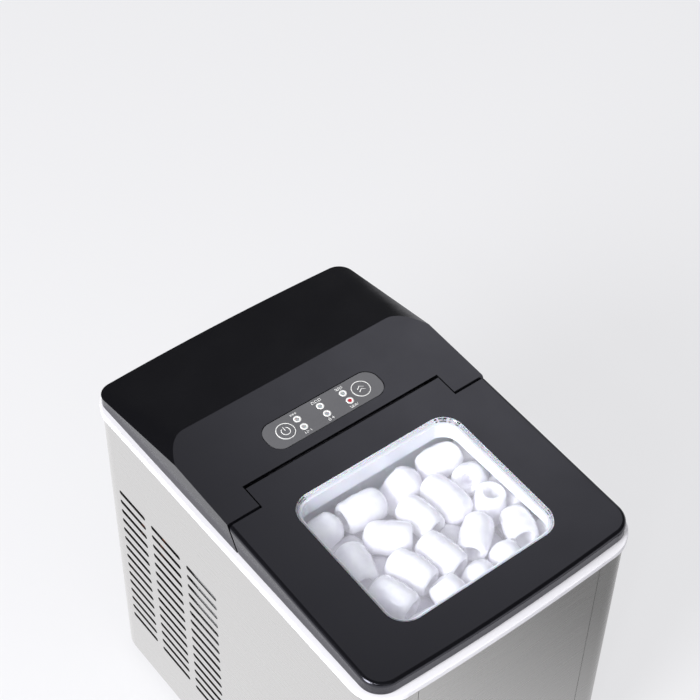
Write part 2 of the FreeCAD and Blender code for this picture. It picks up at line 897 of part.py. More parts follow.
def stepped(inset, z_low, z_high):
    # wide bin above, narrower tank below
    upper = rounded(-liner_half + inset, liner_half - inset, liner_front + inset, liner_rear - inset,
                    shelf_z - liner_wall + inset, z_high, liner_corner - inset)
    lower = rounded(-tank_half + inset, tank_half - inset, tank_front + inset, tank_rear - inset,
                    z_low + inset, shelf_z + 5, tank_corner - inset)
    return fuse([upper, lower])


def inner_liner():
    outer = stepped(0, tank_bottom, liner_top)
    brim = rounded(-liner_half - brim_side, liner_half + brim_side, liner_front - brim_front,
                   liner_rear + brim_rear, liner_top - brim_thick, liner_top, liner_corner + 2)
    liner = fuse([outer, brim]).cut(stepped(liner_wall, tank_bottom, FAR))
    return liner.cut(liner_holes(gap / 2))


def liner_holes(clear):
    tube_hole = tube_radius + clear
    shaft_hole = shaft_radius + running
    return [
        along_x(-liner_half - 2 * MARGIN, tray_y, tray_z, shaft_hole, 3 * MARGIN),
        along_x(liner_half - MARGIN, tray_y, tray_z, shaft_hole, 3 * MARGIN),
        along_y(-feed_x, liner_rear - MARGIN, tube_z, tube_hole, 3 * MARGIN),
        along_y(-return_x, liner_rear - MARGIN, tube_z, tube_hole, 3 * MARGIN),
        along_x(tank_half - MARGIN, drain_y, drain_z, drain_radius - 1, 3 * MARGIN),
    ]


def liner_insulation():
    upper = rounded(-liner_half - foam, liner_half + foam, liner_front - foam, liner_rear + foam,
                    shelf_z - liner_wall - foam, liner_top - brim_thick, liner_corner + 4)
    lower = rounded(-tank_half - foam, tank_half + foam, tank_front - foam, tank_rear + foam,
                    tank_bottom - foam, shelf_z, tank_corner + 6)
    block = fuse([upper, lower]).cut(stepped(0, tank_bottom, FAR))
    skirt_room = body_ring(bezel_top - skirt_drop - 1, FAR, -5)
    skirt_room = skirt_room.cut(body_ring(0, FAR, sheet + gap + skirt_wall + gap))
    motor_room = along_x(liner_half - 1, tray_y, tray_z, motor_radius + gap, 30)
    drain_room = along_x(tank_half - MARGIN, drain_y, drain_z, drain_radius + gap, 60)
    shaft_room = along_x(-liner_half - 20, tray_y, tray_z, shaft_radius + 1.5, 30)
    return block.cut([skirt_room, motor_room, drain_room, shaft_room] + liner_holes(gap))


def ice_basket():
    basket = tub(-basket_half, basket_half, basket_front, basket_rear, shelf_z, basket_top,
                 basket_corner, basket_wall)
    out_x = basket_half + basket_rim
    in_x = basket_half - 1
    rim = rounded(-out_x, out_x, basket_front - basket_rim, basket_rear + basket_rim,
                  basket_top - 2.5, basket_top, basket_corner + basket_rim)
    rim = rim.cut(rounded(-in_x, in_x, basket_front + 1, basket_rear - 1, 0, FAR, basket_corner - 1))
    notch_x = basket_half - basket_notch_side
    notch = box(-notch_x, notch_x, basket_rear - 8, basket_rear + 8, basket_rear_top, FAR)
    return fuse([basket, rim]).cut([notch] + floor_slots() + wall_slots())


def floor_slots():
    # drain slots in the basket's floor, evenly spread between its corners
    half = basket_slot / 2
    columns = 9
    rows = 6
    first_x = basket_half - 20
    first_y = basket_front + basket_corner
    step_x = 2 * first_x / (columns - 1)
    step_y = (basket_rear - basket_corner - 1 - first_y) / (rows - 1)
    slots = []
    for i in range(columns):
        x = i * step_x - first_x
        for j in range(rows):
            y = first_y + j * step_y
            slots.append(box(x - 5, x + 5, y - half, y + half, shelf_z - 1, shelf_z + 5))
    return slots


def wall_slots():
    half = basket_slot / 2
    out_x = basket_half + 1
    step = 19.0
    across = int(2 * (basket_half - basket_corner - 6) / step)
    along = int((basket_rear - basket_front - 2 * basket_corner - 12) / step)
    middle = (basket_front + basket_rear) / 2
    slots = []
    for z in (shelf_z + 12, shelf_z + 24):
        for i in range(across + 1):
            x = (i - across / 2) * step
            slots.append(box(x - 6, x + 6, basket_front - 1, basket_front + 5, z - half, z + half))
        for j in range(along + 1):
            y = middle + (j - along / 2) * step
            slots.append(box(-out_x, out_x, y - 6, y + 6, z - half, z + half))
    return slots


def splash_baffle():
    x = liner_half - 5
    y = mouth_rear + 0.8
    return box(-x, x, y, y + baffle_thick, bezel_top - baffle_drop, liner_top)


def ice_chute():
    # plate that leads the ice from the tray to the basket
    y_front = basket_rear + basket_rim + 1.0
    y_rear = liner_rear - liner_wall - gap
    z_front = bezel_top - chute_drop_front
    z_rear = bezel_top - chute_drop_rear
    outline = [(y_front, z_front), (y_rear, z_rear),
               (y_rear, z_rear - chute_thick), (y_front, z_front - chute_thick)]
    parts = [prism_x(outline, -chute_half, chute_half)]
    y0 = y_rear - 40
    y1 = y_rear - 4
    rise = (z_rear - z_front) / (y_rear - y_front)
    leg = [(y0, shelf_z), (y1, shelf_z), (y1, z_rear - 4 * rise - 0.5), (y0, z_rear - 40 * rise - 0.5)]
    for x in (20 - chute_half, chute_half - 20):
        parts.append(prism_x(leg, x - 1.0, x + 1.0))
    return fuse(parts)


# freezing unit

def evaporator():
    y_front = tray_y - finger_row
    y_back = tray_y + finger_row
    turn_x = tray_half - 4
    end_y = liner_rear + 32.0
    points = [
        Vector(-feed_x, end_y, tube_z), Vector(-feed_x, y_front, tube_z), Vector(turn_x, y_front, tube_z),
        Vector(turn_x, y_back, tube_z), Vector(-return_x, y_back, tube_z),
        Vector(-return_x, liner_rear + 12, tube_z)]
    return pipe(points, tube_radius, 8.0)


def finger_places():
    pitch = 25.0
    front = [(i * pitch, tray_y - finger_row) for i in (-2, -1, 0, 1, 2)]
    back = [(i * pitch, tray_y + finger_row) for i in (-1.5, -0.5, 0.5, 1.5)]
    return front + back


def freezing_fingers():
    fingers = []
    low = finger_bottom + finger_radius
    grip = finger_radius + 1
    for x, y in finger_places():
        post = upright(x, y, low, finger_radius, tube_z - low)
        tip = Part.makeSphere(finger_radius, Vector(x, y, low))
        collar = box(x - grip, x + grip, y - grip, y + grip, tube_z - tube_radius - 3, tube_z)
        body = fuse([post, tip, collar])
        fingers.append(body.cut(along_x(x - 3 * grip, y, tube_z, tube_radius + snug, 6 * grip)))
    return fingers


def evaporator_saddles():
    saddles = []
    half = 4.0
    reach = finger_row + tube_radius + 3
    for x in (48 - tray_half, tray_half - 18):
        block = box(x - half, x + half, tray_y - reach, tray_y + reach, tube_z, liner_top)
        for y in (tray_y - finger_row, tray_y + finger_row):
            block = block.cut(along_x(x - 2 * half, y, tube_z, tube_radius + running, 4 * half))
        saddles.append(block)
    return saddles


def water_tray():
    # half-round trough with a hub at each end
    outer = along_x(-tray_half, tray_y, tray_z, tray_radius, 2 * tray_half)
    inner = along_x(2 - tray_half, tray_y, tray_z, tray_radius - tray_wall, 2 * tray_half - 4)
    tray = outer.cut(inner).cut(box(-FAR, FAR, -FAR, FAR, tray_z + tray_lip, FAR))
    hubs = [along_x(x, tray_y, tray_z, tray_hub, tray_hub) for x in (-tray_half, tray_half - tray_hub)]
    return fuse([tray] + hubs).cut(along_x(-FAR, tray_y, tray_z, shaft_radius + snug, 2 * FAR))


def tray_shafts():
    start = tray_half - tray_hub
    right = liner_half + 6 - start
    left = liner_half + 1.5 - start
    return [
        along_x(start, tray_y, tray_z, shaft_radius, right),
        along_x(-start - left, tray_y, tray_z, shaft_radius, left)]


def tray_motor():
    can = along_x(liner_half, tray_y, tray_z, motor_radius, motor_length)
    return can.cut(along_x(liner_half - 1, tray_y, tray_z, shaft_radius + running, 8.0))


def water_pump():
    low = tank_bottom + liner_wall
    body = rounded(pump_spout_x - 20, pump_spout_x + 8, pump_spout_y - 32, pump_spout_y + 4,
                   low, low + pump_height, 6)
    return fuse([body, upright(pump_spout_x, pump_spout_y, low + pump_height - 1, 4.0, 9.0)])


def pump_hose():
    # up from the pump, through the gap beside the basket and over to the tray
    start = tank_bottom + liner_wall + pump_height + 8
    rise_z = shelf_z + 17.5
    top_z = tube_z + 2
    end_x = hose_x - 25.5
    points = [
        Vector(pump_spout_x, pump_spout_y, start), Vector(pump_spout_x, pump_spout_y, rise_z),
        Vector(hose_x, hose_y + 2.0, rise_z + 8), Vector(hose_x, hose_y + 2.0, top_z - 11),
        Vector(hose_x, hose_y + 10.5, top_z), Vector(end_x, hose_y + 12.0, top_z),
        Vector(end_x, hose_y + 12.0, top_z - 14)]
    return pipe(points, hose_radius, 6.0)


def level_probe():
    wall = tank_rear - liner_wall
    high = shelf_z - 7.5
    plate = box(-50, -34, wall - 3, wall, high - 17, high)
    rod_low = tank_bottom + 26
    rod_long = high - 16 - rod_low
    rods = [upright(x, wall - 1.5, rod_low, 1.2, rod_long) for x in (-46.0, -38.0)]
    return fuse([plate] + rods)


def ice_sensors():
    x = liner_half - liner_wall
    z = bezel_top - 11.3
    return [along_x(start, -60, z, 3.5, 3.0) for start in (x - 3, -x)]


def drain_port():
    inner = tank_half - liner_wall
    outer = body_x + 0.6
    tube = along_x(inner, drain_y, drain_z, drain_radius - 1.05, outer - inner)
    collar = along_x(tank_half, drain_y, drain_z, drain_radius, outer - tank_half)
    return fuse([tube, collar]).cut(along_x(inner - MARGIN, drain_y, drain_z, drain_bore, FAR))


def drain_plug():
    stem_in = 14.0
    head = along_x(body_x + 0.9, drain_y, drain_z, 11.0, 2.7)
    stem = along_x(body_x - stem_in, drain_y, drain_z, drain_bore - 0.1, stem_in + 2)
    return fuse([head, stem])


# machine space

def mount_places():
    turns = [math.radians(a) for a in (90, 210, 330)]
    return [(compressor_x + mount_reach * math.cos(a), compressor_y + mount_reach * math.sin(a))
            for a in turns]


def compressor():
    foot = 3.0
    low = compressor_bottom + foot
    can = upright(compressor_x, compressor_y, low, compressor_radius, compressor_top - low)
    rims = [e for e in can.Edges if len(e.Vertexes) == 1]
    seam_z = (low + compressor_top) / 2
    parts = [
        can.makeFillet(12.0, rims),
        upright(compressor_x, compressor_y, seam_z, compressor_radius + 1.0, 4),
        upright(compressor_x, compressor_y, compressor_bottom, compressor_radius, foot + 0.2)]
    body = fuse(parts)
    for x, y in mount_places():
        # room for the nut, and an ear round each bolt
        body = body.cut(upright(x, y, 0, 6.0, compressor_bottom + 14))
        ear = upright(x, y, compressor_bottom, 7.5, foot).cut(upright(x, y, 0, bolt_radius + 0.2, FAR))
        body = fuse([body, ear])
    return body


def compressor_grommets():
    low = pan_bottom + pan_floor
    pads = []
    for x, y in mount_places():
        pad = upright(x, y, low, 7.0, compressor_bottom - low)
        pads.append(pad.cut(upright(x, y, 0, bolt_radius + 0.2, FAR)))
    return pads


def compressor_bolts():
    nut = 3.0
    bolts = []
    for x, y in mount_places():
        shank = upright(x, y, pan_bottom - 1.5, bolt_radius, compressor_bottom + 8 - pan_bottom)
        top_nut = upright(x, y, compressor_bottom + nut, bolt_radius + 2, nut)
        head = upright(x, y, pan_bottom - nut, bolt_radius + 2, nut)
        bolts.append(fuse([shank, top_nut, head]))
    return bolts


def terminal_cover():
    x = compressor_x - compressor_radius
    z = compressor_bottom + 31
    block = rounded(x - 10, x + 6, compressor_y - 20, compressor_y + 12, z, z + 28, 4)
    return block.cut(upright(compressor_x, compressor_y, 0, compressor_radius + 0.2, FAR))


def condenser_levels():
    low = condenser_z0 + 10
    step = (condenser_z1 - condenser_z0 - 20) / (condenser_rows - 1)
    return [low + i * step for i in range(condenser_rows)]


def condenser_holes():
    return [along_y(condenser_mid, 0, z, condenser_tube + 0.03, FAR) for z in condenser_levels()]


def condenser_fins():
    y0 = condenser_y0 + 7
    step = (condenser_y1 - condenser_y0 - 14) / (fin_count - 1)
    fins = []
    for i in range(fin_count):
        y = y0 + i * step
        fin = box(condenser_x, condenser_side, y - fin_half, y + fin_half, condenser_z0, condenser_z1)
        fins.append(fin.cut(condenser_holes()))
    return fins


def condenser_frame():
    thick = 1.2
    low = pan_bottom + pan_floor
    frames = []
    for y in (condenser_y0, condenser_y1 - thick):
        plate = box(condenser_x, condenser_side, y, y + thick, low, condenser_z1)
        frames.append(plate.cut(condenser_holes()))
    return frames


def condenser_tubes():
    past = 6.0
    length = condenser_y1 - condenser_y0 + 2 * past
    return [along_y(condenser_mid, condenser_y0 - past, z, condenser_tube, length)
            for z in condenser_levels()]


def fan_shroud():
    # plate with a ring round the blade, and a bracket of posts and bars behind it for the motor
    x1 = condenser_side
    back_x = x1 + fan_stand
    clear = fan_radius + 4
    plate = box(x1, x1 + 2, condenser_y0, condenser_y1, condenser_z0, condenser_z1)
    plate = plate.cut(along_x(x1 - 5, fan_y, fan_z, clear, 20))
    ring = along_x(x1, fan_y, fan_z, clear + 2, 16).cut(along_x(x1 - 5, fan_y, fan_z, clear, 40))
    reach = (clear + 1.5) / math.sqrt(2)
    parts = [plate, ring]
    for dz in (-reach, reach):
        z = fan_z + dz
        parts.append(box(back_x - 3, back_x, fan_y - reach - 3, fan_y + reach + 3, z - 3, z + 3))
        for dy in (-reach, reach):
            parts.append(along_x(x1 + 14, fan_y + dy, z, 2.5, fan_stand - 14))
    parts.append(box(back_x - 3, back_x, fan_y - 10, fan_y + 10, fan_z - reach - 3, fan_z + reach + 3))
    return fuse(parts).cut(along_x(back_x - 10, fan_y, fan_z, 6.0, 20))


def fan_motor():
    back_x = condenser_side + fan_stand
    length = 28.0
    can = along_x(back_x, fan_y, fan_z, 19.0, length)
    far_rim = [e for e in can.Edges if len(e.Vertexes) == 1 and e.CenterOfMass.x > back_x + length / 2]
    can = can.makeFillet(3.0, far_rim)
    return can.cut(along_x(back_x - 1, fan_y, fan_z, fan_shaft_radius + running, 12.0))


def fan_shaft():
    start = condenser_side + fan_stand - 26
    return along_x(start, fan_y, fan_z, fan_shaft_radius, 36.0)


def fan_blade():
    hub_length = 12.0
    x0 = condenser_side + 7
    half = hub_length / 2
    width_half = 13.0
    parts = [along_x(x0, fan_y, fan_z, 11.0, hub_length)]
    for i in range(5):
        blade = box(-1.0, 1.0, 9.0, fan_radius, -width_half, width_half)
        blade.rotate(Vector(0, 0, 0), Vector(0, 1, 0), 68)
        blade = blade.common(box(0.4 - half, half - 0.4, 0, FAR, -width_half, width_half))
        blade = blade.common(along_x(-MARGIN, 0, 0, fan_radius, 2 * MARGIN))
        blade.rotate(Vector(0, 0, 0), Vector(1, 0, 0), 72 * i)
        blade.translate(Vector(x0 + half, fan_y, fan_z))
        parts.append(blade)
    return fuse(parts).cut(along_x(x0 - 5, fan_y, fan_z, fan_shaft_radius + snug, 30))


def filter_drier():
    neck = pipe_radius + 0.6
    top = drier_top - 8
    low = drier_bottom + 8
    return fuse([
        upright(drier_x, drier_y, low, drier_radius, top - low),
        Part.makeCone(drier_radius, neck, 8, Vector(drier_x, drier_y, top)),
        Part.makeCone(neck, drier_radius, 8, Vector(drier_x, drier_y, drier_bottom))])


def drier_clip():
    z = (drier_bottom + drier_top) / 2 - 4
    block = box(drier_x - 13, drier_x + 13, drier_y - 4, body_rear - 2 * sheet, z, z + 10)
    mouth = box(drier_x - 6, drier_x + 6, drier_y - 4 * MARGIN, drier_y, z - 1, z + 11)
    return block.cut(upright(drier_x, drier_y, 0, drier_radius + 0.1, FAR)).cut(mouth)


def hot_gas_valve():
    stem = upright(valve_x, valve_y, valve_bottom, 5.0, valve_top - valve_bottom)
    coil = rounded(valve_x - 15, valve_x + 12, valve_y - 11, valve_y + 11, valve_bottom + 8, valve_top - 6, 4)
    return fuse([stem, coil])


def joining_tee():
    half = tee_half
    block = box(-feed_x - half, -feed_x + half, tee_y - half, tee_y + half, tube_z - half, tube_z + half)
    return block.makeFillet(1.5, vertical_edges(block))


def discharge_pipe():
    x = compressor_x - 22
    z = compressor_top + 28
    return pipe([
        Vector(x, compressor_y, compressor_top), Vector(x, compressor_y, z),
        Vector(condenser_mid, compressor_y, z), Vector(condenser_mid, compressor_y, condenser_z1)],
        pipe_radius, 9.0)


def liquid_pipe():
    z = condenser_z1 + 18
    return pipe([
        Vector(condenser_mid, drier_y, condenser_z1), Vector(condenser_mid, drier_y, z),
        Vector(drier_x, drier_y, z), Vector(drier_x, drier_y, drier_top)], pipe_radius, 9.0)


def feed_pipe():
    rise_x = drier_x + 27
    low = drier_bottom - 26
    high = tube_z - 26
    return pipe([
        Vector(drier_x, drier_y, drier_bottom), Vector(drier_x, drier_y, low), Vector(rise_x, drier_y, low),
        Vector(rise_x, drier_y, high), Vector(-feed_x, drier_y, high), Vector(-feed_x, drier_y, tube_z),
        Vector(-feed_x, tee_y + tee_half, tube_z)], pipe_radius, 8.0)


def suction_pipe():
    y = liner_rear + 26.0
    x = compressor_x + 18
    z = tube_z - 82
    return pipe([
        Vector(-return_x, liner_rear + 12, tube_z), Vector(-return_x, y, tube_z), Vector(-return_x, y, z),
        Vector(x, y, z), Vector(x, y, compressor_top)], suction_radius, 9.0)


def hot_gas_pipes():
    lower = upright(valve_x, valve_y, compressor_top, pipe_radius, valve_bottom - compressor_top)
    upper = pipe([
        Vector(valve_x, valve_y, valve_top), Vector(valve_x, valve_y, tube_z), Vector(valve_x, tee_y, tube_z),
        Vector(tee_half - feed_x, tee_y, tube_z)], pipe_radius, 9.0)
    return [lower, upper]


def power_board():
    y = body_rear - 2 * sheet - power_board_stand
    board = box(power_board_x, power_board_x + 80, y - power_board_thick, y, power_board_z0, power_board_z1)
    return board.cut([along_y(x, y - MARGIN, z, 1.6, 2 * MARGIN) for x, z in standoff_places()])


def standoff_places():
    columns = (power_board_x + 5, power_board_x + 75)
    return [(x, z) for x in columns for z in (power_board_z0 + 5, power_board_z1 - 5)]


def board_standoffs():
    low = body_rear - 2 * sheet - power_board_stand
    posts = []
    for x, z in standoff_places():
        behind_strip = abs(x) > flange_x - strip_lap
        wall_y = body_rear - (2 * sheet if behind_strip else sheet)
        post = along_y(x, low, z, 3.0, wall_y - low)
        posts.append(fuse([post, along_y(x, low - power_board_thick - 1, z, 1.5, 3.0)]))
    return posts


def board_parts():
    # transformer, three relays and a fuse
    y = body_rear - 2 * sheet - power_board_stand - power_board_thick
    z = power_board_z0
    x0 = power_board_x + 10
    transformer = rounded(x0, x0 + 30, y - 16, y, z + 12, z + 38, 2)
    relays = [box(x, x + 14, y - 12, y, z + 44, z + 60) for x in (x0, x0 + 18, x0 + 36)]
    return [transformer] + relays + [along_x(x0 + 36, y - 3.2, z + 18, 3.2, 22)]


def build():
    os.makedirs("parts", exist_ok=True)
    save("base_pan", base_pan())
    save("feet", group(feet()))
    save("foot_screws", group(foot_screws()))
    save("left_side_panel", side_panel(-1))
    save("right_side_panel", side_panel(1))
    save("front_panel", end_panel(-1))
    save("rear_panel", rear_panel())
    save("panel_screws", group(panel_screws()))
    save("cord_gland", cord_gland())
    save("top_bezel", top_bezel())
    save("console_cover", console_cover())
    save("control_panel", control_panel())
    save("power_button", button(-button_x))
    save("select_button", button(button_x))
    save("lamp_lenses", group(lamp_lenses(lamp_places()[:-1])))
    save("full_lamp_lens", group(lamp_lenses(lamp_places()[-1:])))
    save("lamp_bodies", group(lamp_bodies()))
    save("control_board", control_board())
    save("board_screws", group(board_screws()))
    save("push_switches", group(push_switches()))
    save("lid_shell", lid_shell())
    save("lid_window", lid_window())
    save("lid_inner_frame", lid_inner_frame())
    save("lid_bumpers", group(lid_bumpers()))
    save("lid_screws", group(lid_screws()))
    save("hinge_pins", group(hinge_pins()))
    save("inner_liner", inner_liner())
    save("liner_insulation", liner_insulation())
    save("ice_basket", ice_basket())
    save("splash_baffle", splash_baffle())
    save("ice_chute", ice_chute())
    save("evaporator", evaporator())
    save("freezing_fingers", group(freezing_fingers()))
    save("evaporator_saddles", group(evaporator_saddles()))
    save("water_tray", water_tray())
    save("tray_shafts", group(tray_shafts()))
    save("tray_motor", tray_motor())
    save("water_pump", water_pump())
    save("pump_hose", pump_hose())
    save("level_probe", level_probe())
    save("ice_sensors", group(ice_sensors()))
    save("drain_port", drain_port())
    save("drain_plug", drain_plug())
    save("compressor", compressor())
    save("compressor_grommets", group(compressor_grommets()))
    save("compressor_bolts", group(compressor_bolts()))
    save("terminal_cover", terminal_cover())
    save("condenser_fins", group(condenser_fins()))
    save("condenser_frame", group(condenser_frame()))
    save("condenser_tubes", group(condenser_tubes()))
    save("fan_shroud", fan_shroud())
    save("fan_motor", fan_motor())
    save("fan_shaft", fan_shaft())
    save("fan_blade", fan_blade())
    save("filter_drier", group([filter_drier(), drier_clip()]))
    save("hot_gas_valve", hot_gas_valve())
    save("refrigerant_pipes", group(
        [discharge_pipe(), liquid_pipe(), feed_pipe(), suction_pipe(), joining_tee()] + hot_gas_pipes()))
    save("power_board", group([power_board()] + board_parts()))
    save("board_standoffs", group(board_standoffs()))


build()
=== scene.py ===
import json
import math
import random

import bmesh
import bpy
import numpy as np
from mathutils import Matrix, Vector


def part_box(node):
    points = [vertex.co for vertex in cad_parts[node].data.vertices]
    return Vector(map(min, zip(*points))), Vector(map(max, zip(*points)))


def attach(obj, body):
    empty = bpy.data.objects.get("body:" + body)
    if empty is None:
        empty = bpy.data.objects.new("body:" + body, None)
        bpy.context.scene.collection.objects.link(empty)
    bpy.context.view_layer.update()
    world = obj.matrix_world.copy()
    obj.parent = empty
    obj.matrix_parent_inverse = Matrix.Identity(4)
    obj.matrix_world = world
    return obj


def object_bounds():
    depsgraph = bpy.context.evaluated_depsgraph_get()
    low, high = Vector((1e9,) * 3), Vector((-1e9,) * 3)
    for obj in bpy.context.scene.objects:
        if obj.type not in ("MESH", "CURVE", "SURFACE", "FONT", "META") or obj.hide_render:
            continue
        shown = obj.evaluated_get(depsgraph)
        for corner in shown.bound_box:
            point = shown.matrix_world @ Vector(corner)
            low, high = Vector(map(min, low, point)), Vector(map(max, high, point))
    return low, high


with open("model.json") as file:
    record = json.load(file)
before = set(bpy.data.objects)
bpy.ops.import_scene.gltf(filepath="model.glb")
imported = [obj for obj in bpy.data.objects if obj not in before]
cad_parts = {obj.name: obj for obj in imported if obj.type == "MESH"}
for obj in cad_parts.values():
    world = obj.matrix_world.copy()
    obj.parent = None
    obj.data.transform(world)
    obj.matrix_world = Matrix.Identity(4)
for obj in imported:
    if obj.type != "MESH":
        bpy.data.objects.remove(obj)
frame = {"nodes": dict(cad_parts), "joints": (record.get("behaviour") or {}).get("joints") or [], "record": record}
cadLow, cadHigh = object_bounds()
mm = 0.001
print("frame loaded:", len(frame["nodes"]), "nodes")


def linear(hexColour):
    # sRGB hex to the linear colour that shaders take
    values = [int(hexColour[i:i + 2], 16) / 255 for i in (1, 3, 5)]
    return [v / 12.92 if v <= 0.04045 else ((v + 0.055) / 1.055) ** 2.4 for v in values] + [1.0]


def add(tree, kind, inputs=None, **settings):
    # adds a node, sets its options, then its inputs: a socket is linked, anything else is a value
    made = tree.nodes.new(kind)
    for name, value in settings.items():
        setattr(made, name, value)
    for name, value in (inputs or {}).items():
        if isinstance(value, bpy.types.NodeSocket):
            tree.links.new(value, made.inputs[name])
        else:
            made.inputs[name].default_value = value
    return made


def newMaterial(name):
    material = bpy.data.materials.new(name)
    material.use_nodes = True
    tree = material.node_tree
    tree.nodes.clear()
    output = add(tree, "ShaderNodeOutputMaterial")
    return material, tree, output


# camera

cameraPlace = {
    "location": (-0.5196, -0.62871, 1.26406),
    "yaw": 39.11,       # degrees from +Y towards +X
    "pitch": 46.05,     # degrees down
    "roll": -1.42,
    "sensor": 36.0,     # mm
    "lens": 90.43,      # mm
    "farEnd": 100.0,    # metres
}


def makeCamera(place):
    yaw, pitch, roll = (math.radians(place[key]) for key in ("yaw", "pitch", "roll"))
    forward = Vector((math.sin(yaw) * math.cos(pitch), math.cos(yaw) * math.cos(pitch), -math.sin(pitch)))
    right = Vector((math.cos(yaw), -math.sin(yaw), 0))
    down = forward.cross(right)
    localX = right * math.cos(roll) + down * math.sin(roll)
    localY = right * math.sin(roll) - down * math.cos(roll)
    camera = bpy.data.objects.new("camera", bpy.data.cameras.new("camera"))
    bpy.context.scene.collection.objects.link(camera)
    camera.data.sensor_width = place["sensor"]
    camera.data.lens = place["lens"]
    camera.data.clip_end = place["farEnd"]
    turned = Matrix((localX, localY, -forward)).transposed().to_4x4()
    camera.matrix_world = Matrix.Translation(place["location"]) @ turned
    bpy.context.scene.camera = camera


makeCamera(cameraPlace)
bpy.context.scene.view_settings.view_transform = "Standard"
print("camera set")


# studio: a pale floor, one large soft lamp from the left, and a sky that polished faces mirror

studio = {
    "floorColour": "#dddde1",
    "glowColour": "#f7f7f9",
    "floorRadius": 40.0,
    "floorGlow": 0.70,          # share of plain white in what the lens sees of the floor
    "mirroredFloor": 1.25,      # the floor as polished faces see it, to the left and behind
    "paintedShadowFloor": 0.30,           # and in the painted shadow patch before the right corner, seen only in reflections
    "paintedShadowPatch": (0.32, -0.36, 0.12, 0.42),   # the painted shadow's middle, then where it starts and stops fading, metres
    "ambient": 0.55,            # even light from all round
    "keyPlace": (-2.1, -0.35, 1.45),
    "keySize": 1.2,
    "keyPower": 80.0,
    "fillPlace": (-0.5, -2.0, 1.2),
    "fillSize": 1.2,
    "fillPower": 1.5,
    "sparkPlace": (-1.1, -0.9, 1.5),
    "sparkSize": 0.12,
    "sparkPower": 3.0,
    "boxAzimuth": 50.0,         # the softbox that the top faces mirror, degrees from +Y towards +X
    "boxHeight": 47.0,          # and degrees above the horizon
    "horizonBand": (0.04, 0.24),   # a pale band for the upright sides fades out between these heights
    "horizonGlow": 0.9,
}

# how bright polished faces see the sky: degrees from the softbox's middle, brightness
skySteps = [
    (34, 0.07), (28, 0.09), (20, 0.20), (14, 0.42), (12, 0.56), (10, 0.80), (8, 1.12), (5, 1.42), (0, 1.62)]


def makeFloor(look):
    mesh = bpy.data.meshes.new("floor")
    shape = bmesh.new()
    bmesh.ops.create_circle(shape, cap_ends=True, segments=96, radius=look["floorRadius"])
    shape.to_mesh(mesh)
    shape.free()
    floor = bpy.data.objects.new("floor", mesh)
    bpy.context.scene.collection.objects.link(floor)
    floor.location.z = cadLow.z
    material, tree, output = newMaterial("paperBackdrop")
    # matt paper: takes the object's shadow, and reads as nearly white to the lens and in reflections, save for a
    # painted shadow patch before the right corner that only reflections see
    paper = add(tree, "ShaderNodeBsdfDiffuse", {"Color": linear(look["floorColour"])})
    path = add(tree, "ShaderNodeLightPath")
    place = add(tree, "ShaderNodeTexCoord").outputs["Object"]
    # painted shadow: the glow that polished faces mirror is dimmed in a round patch before the right corner
    patchX, patchY, fadeFrom, fadeTo = look["paintedShadowPatch"]
    away = add(tree, "ShaderNodeVectorMath", {0: place, 1: (patchX, patchY, 0)}, operation="DISTANCE")
    mirroredWithPaintedShadow = add(tree, "ShaderNodeMapRange", {
        "Value": away.outputs["Value"], "From Min": fadeFrom, "From Max": fadeTo,
        "To Min": look["paintedShadowFloor"], "To Max": look["mirroredFloor"]})
    strength = add(tree, "ShaderNodeMix", {0: path.outputs["Is Glossy Ray"], 2: 1.0, 3: mirroredWithPaintedShadow.outputs[0]})
    glow = add(tree, "ShaderNodeEmission", {
        "Color": linear(look["glowColour"]), "Strength": strength.outputs[0]})
    seen = add(tree, "ShaderNodeMath", {
        0: path.outputs["Is Camera Ray"], 1: path.outputs["Is Transmission Ray"]}, operation="MAXIMUM")
    share = add(tree, "ShaderNodeMath", {0: seen.outputs[0], 1: look["floorGlow"]}, operation="MULTIPLY")
    share = add(tree, "ShaderNodeMath", {0: share.outputs[0], 1: path.outputs["Is Glossy Ray"]},
                operation="MAXIMUM")
    mixed = add(tree, "ShaderNodeMixShader", {0: share.outputs[0], 1: paper.outputs[0], 2: glow.outputs[0]})
    tree.links.new(mixed.outputs[0], output.inputs["Surface"])
    floor.data.materials.append(material)


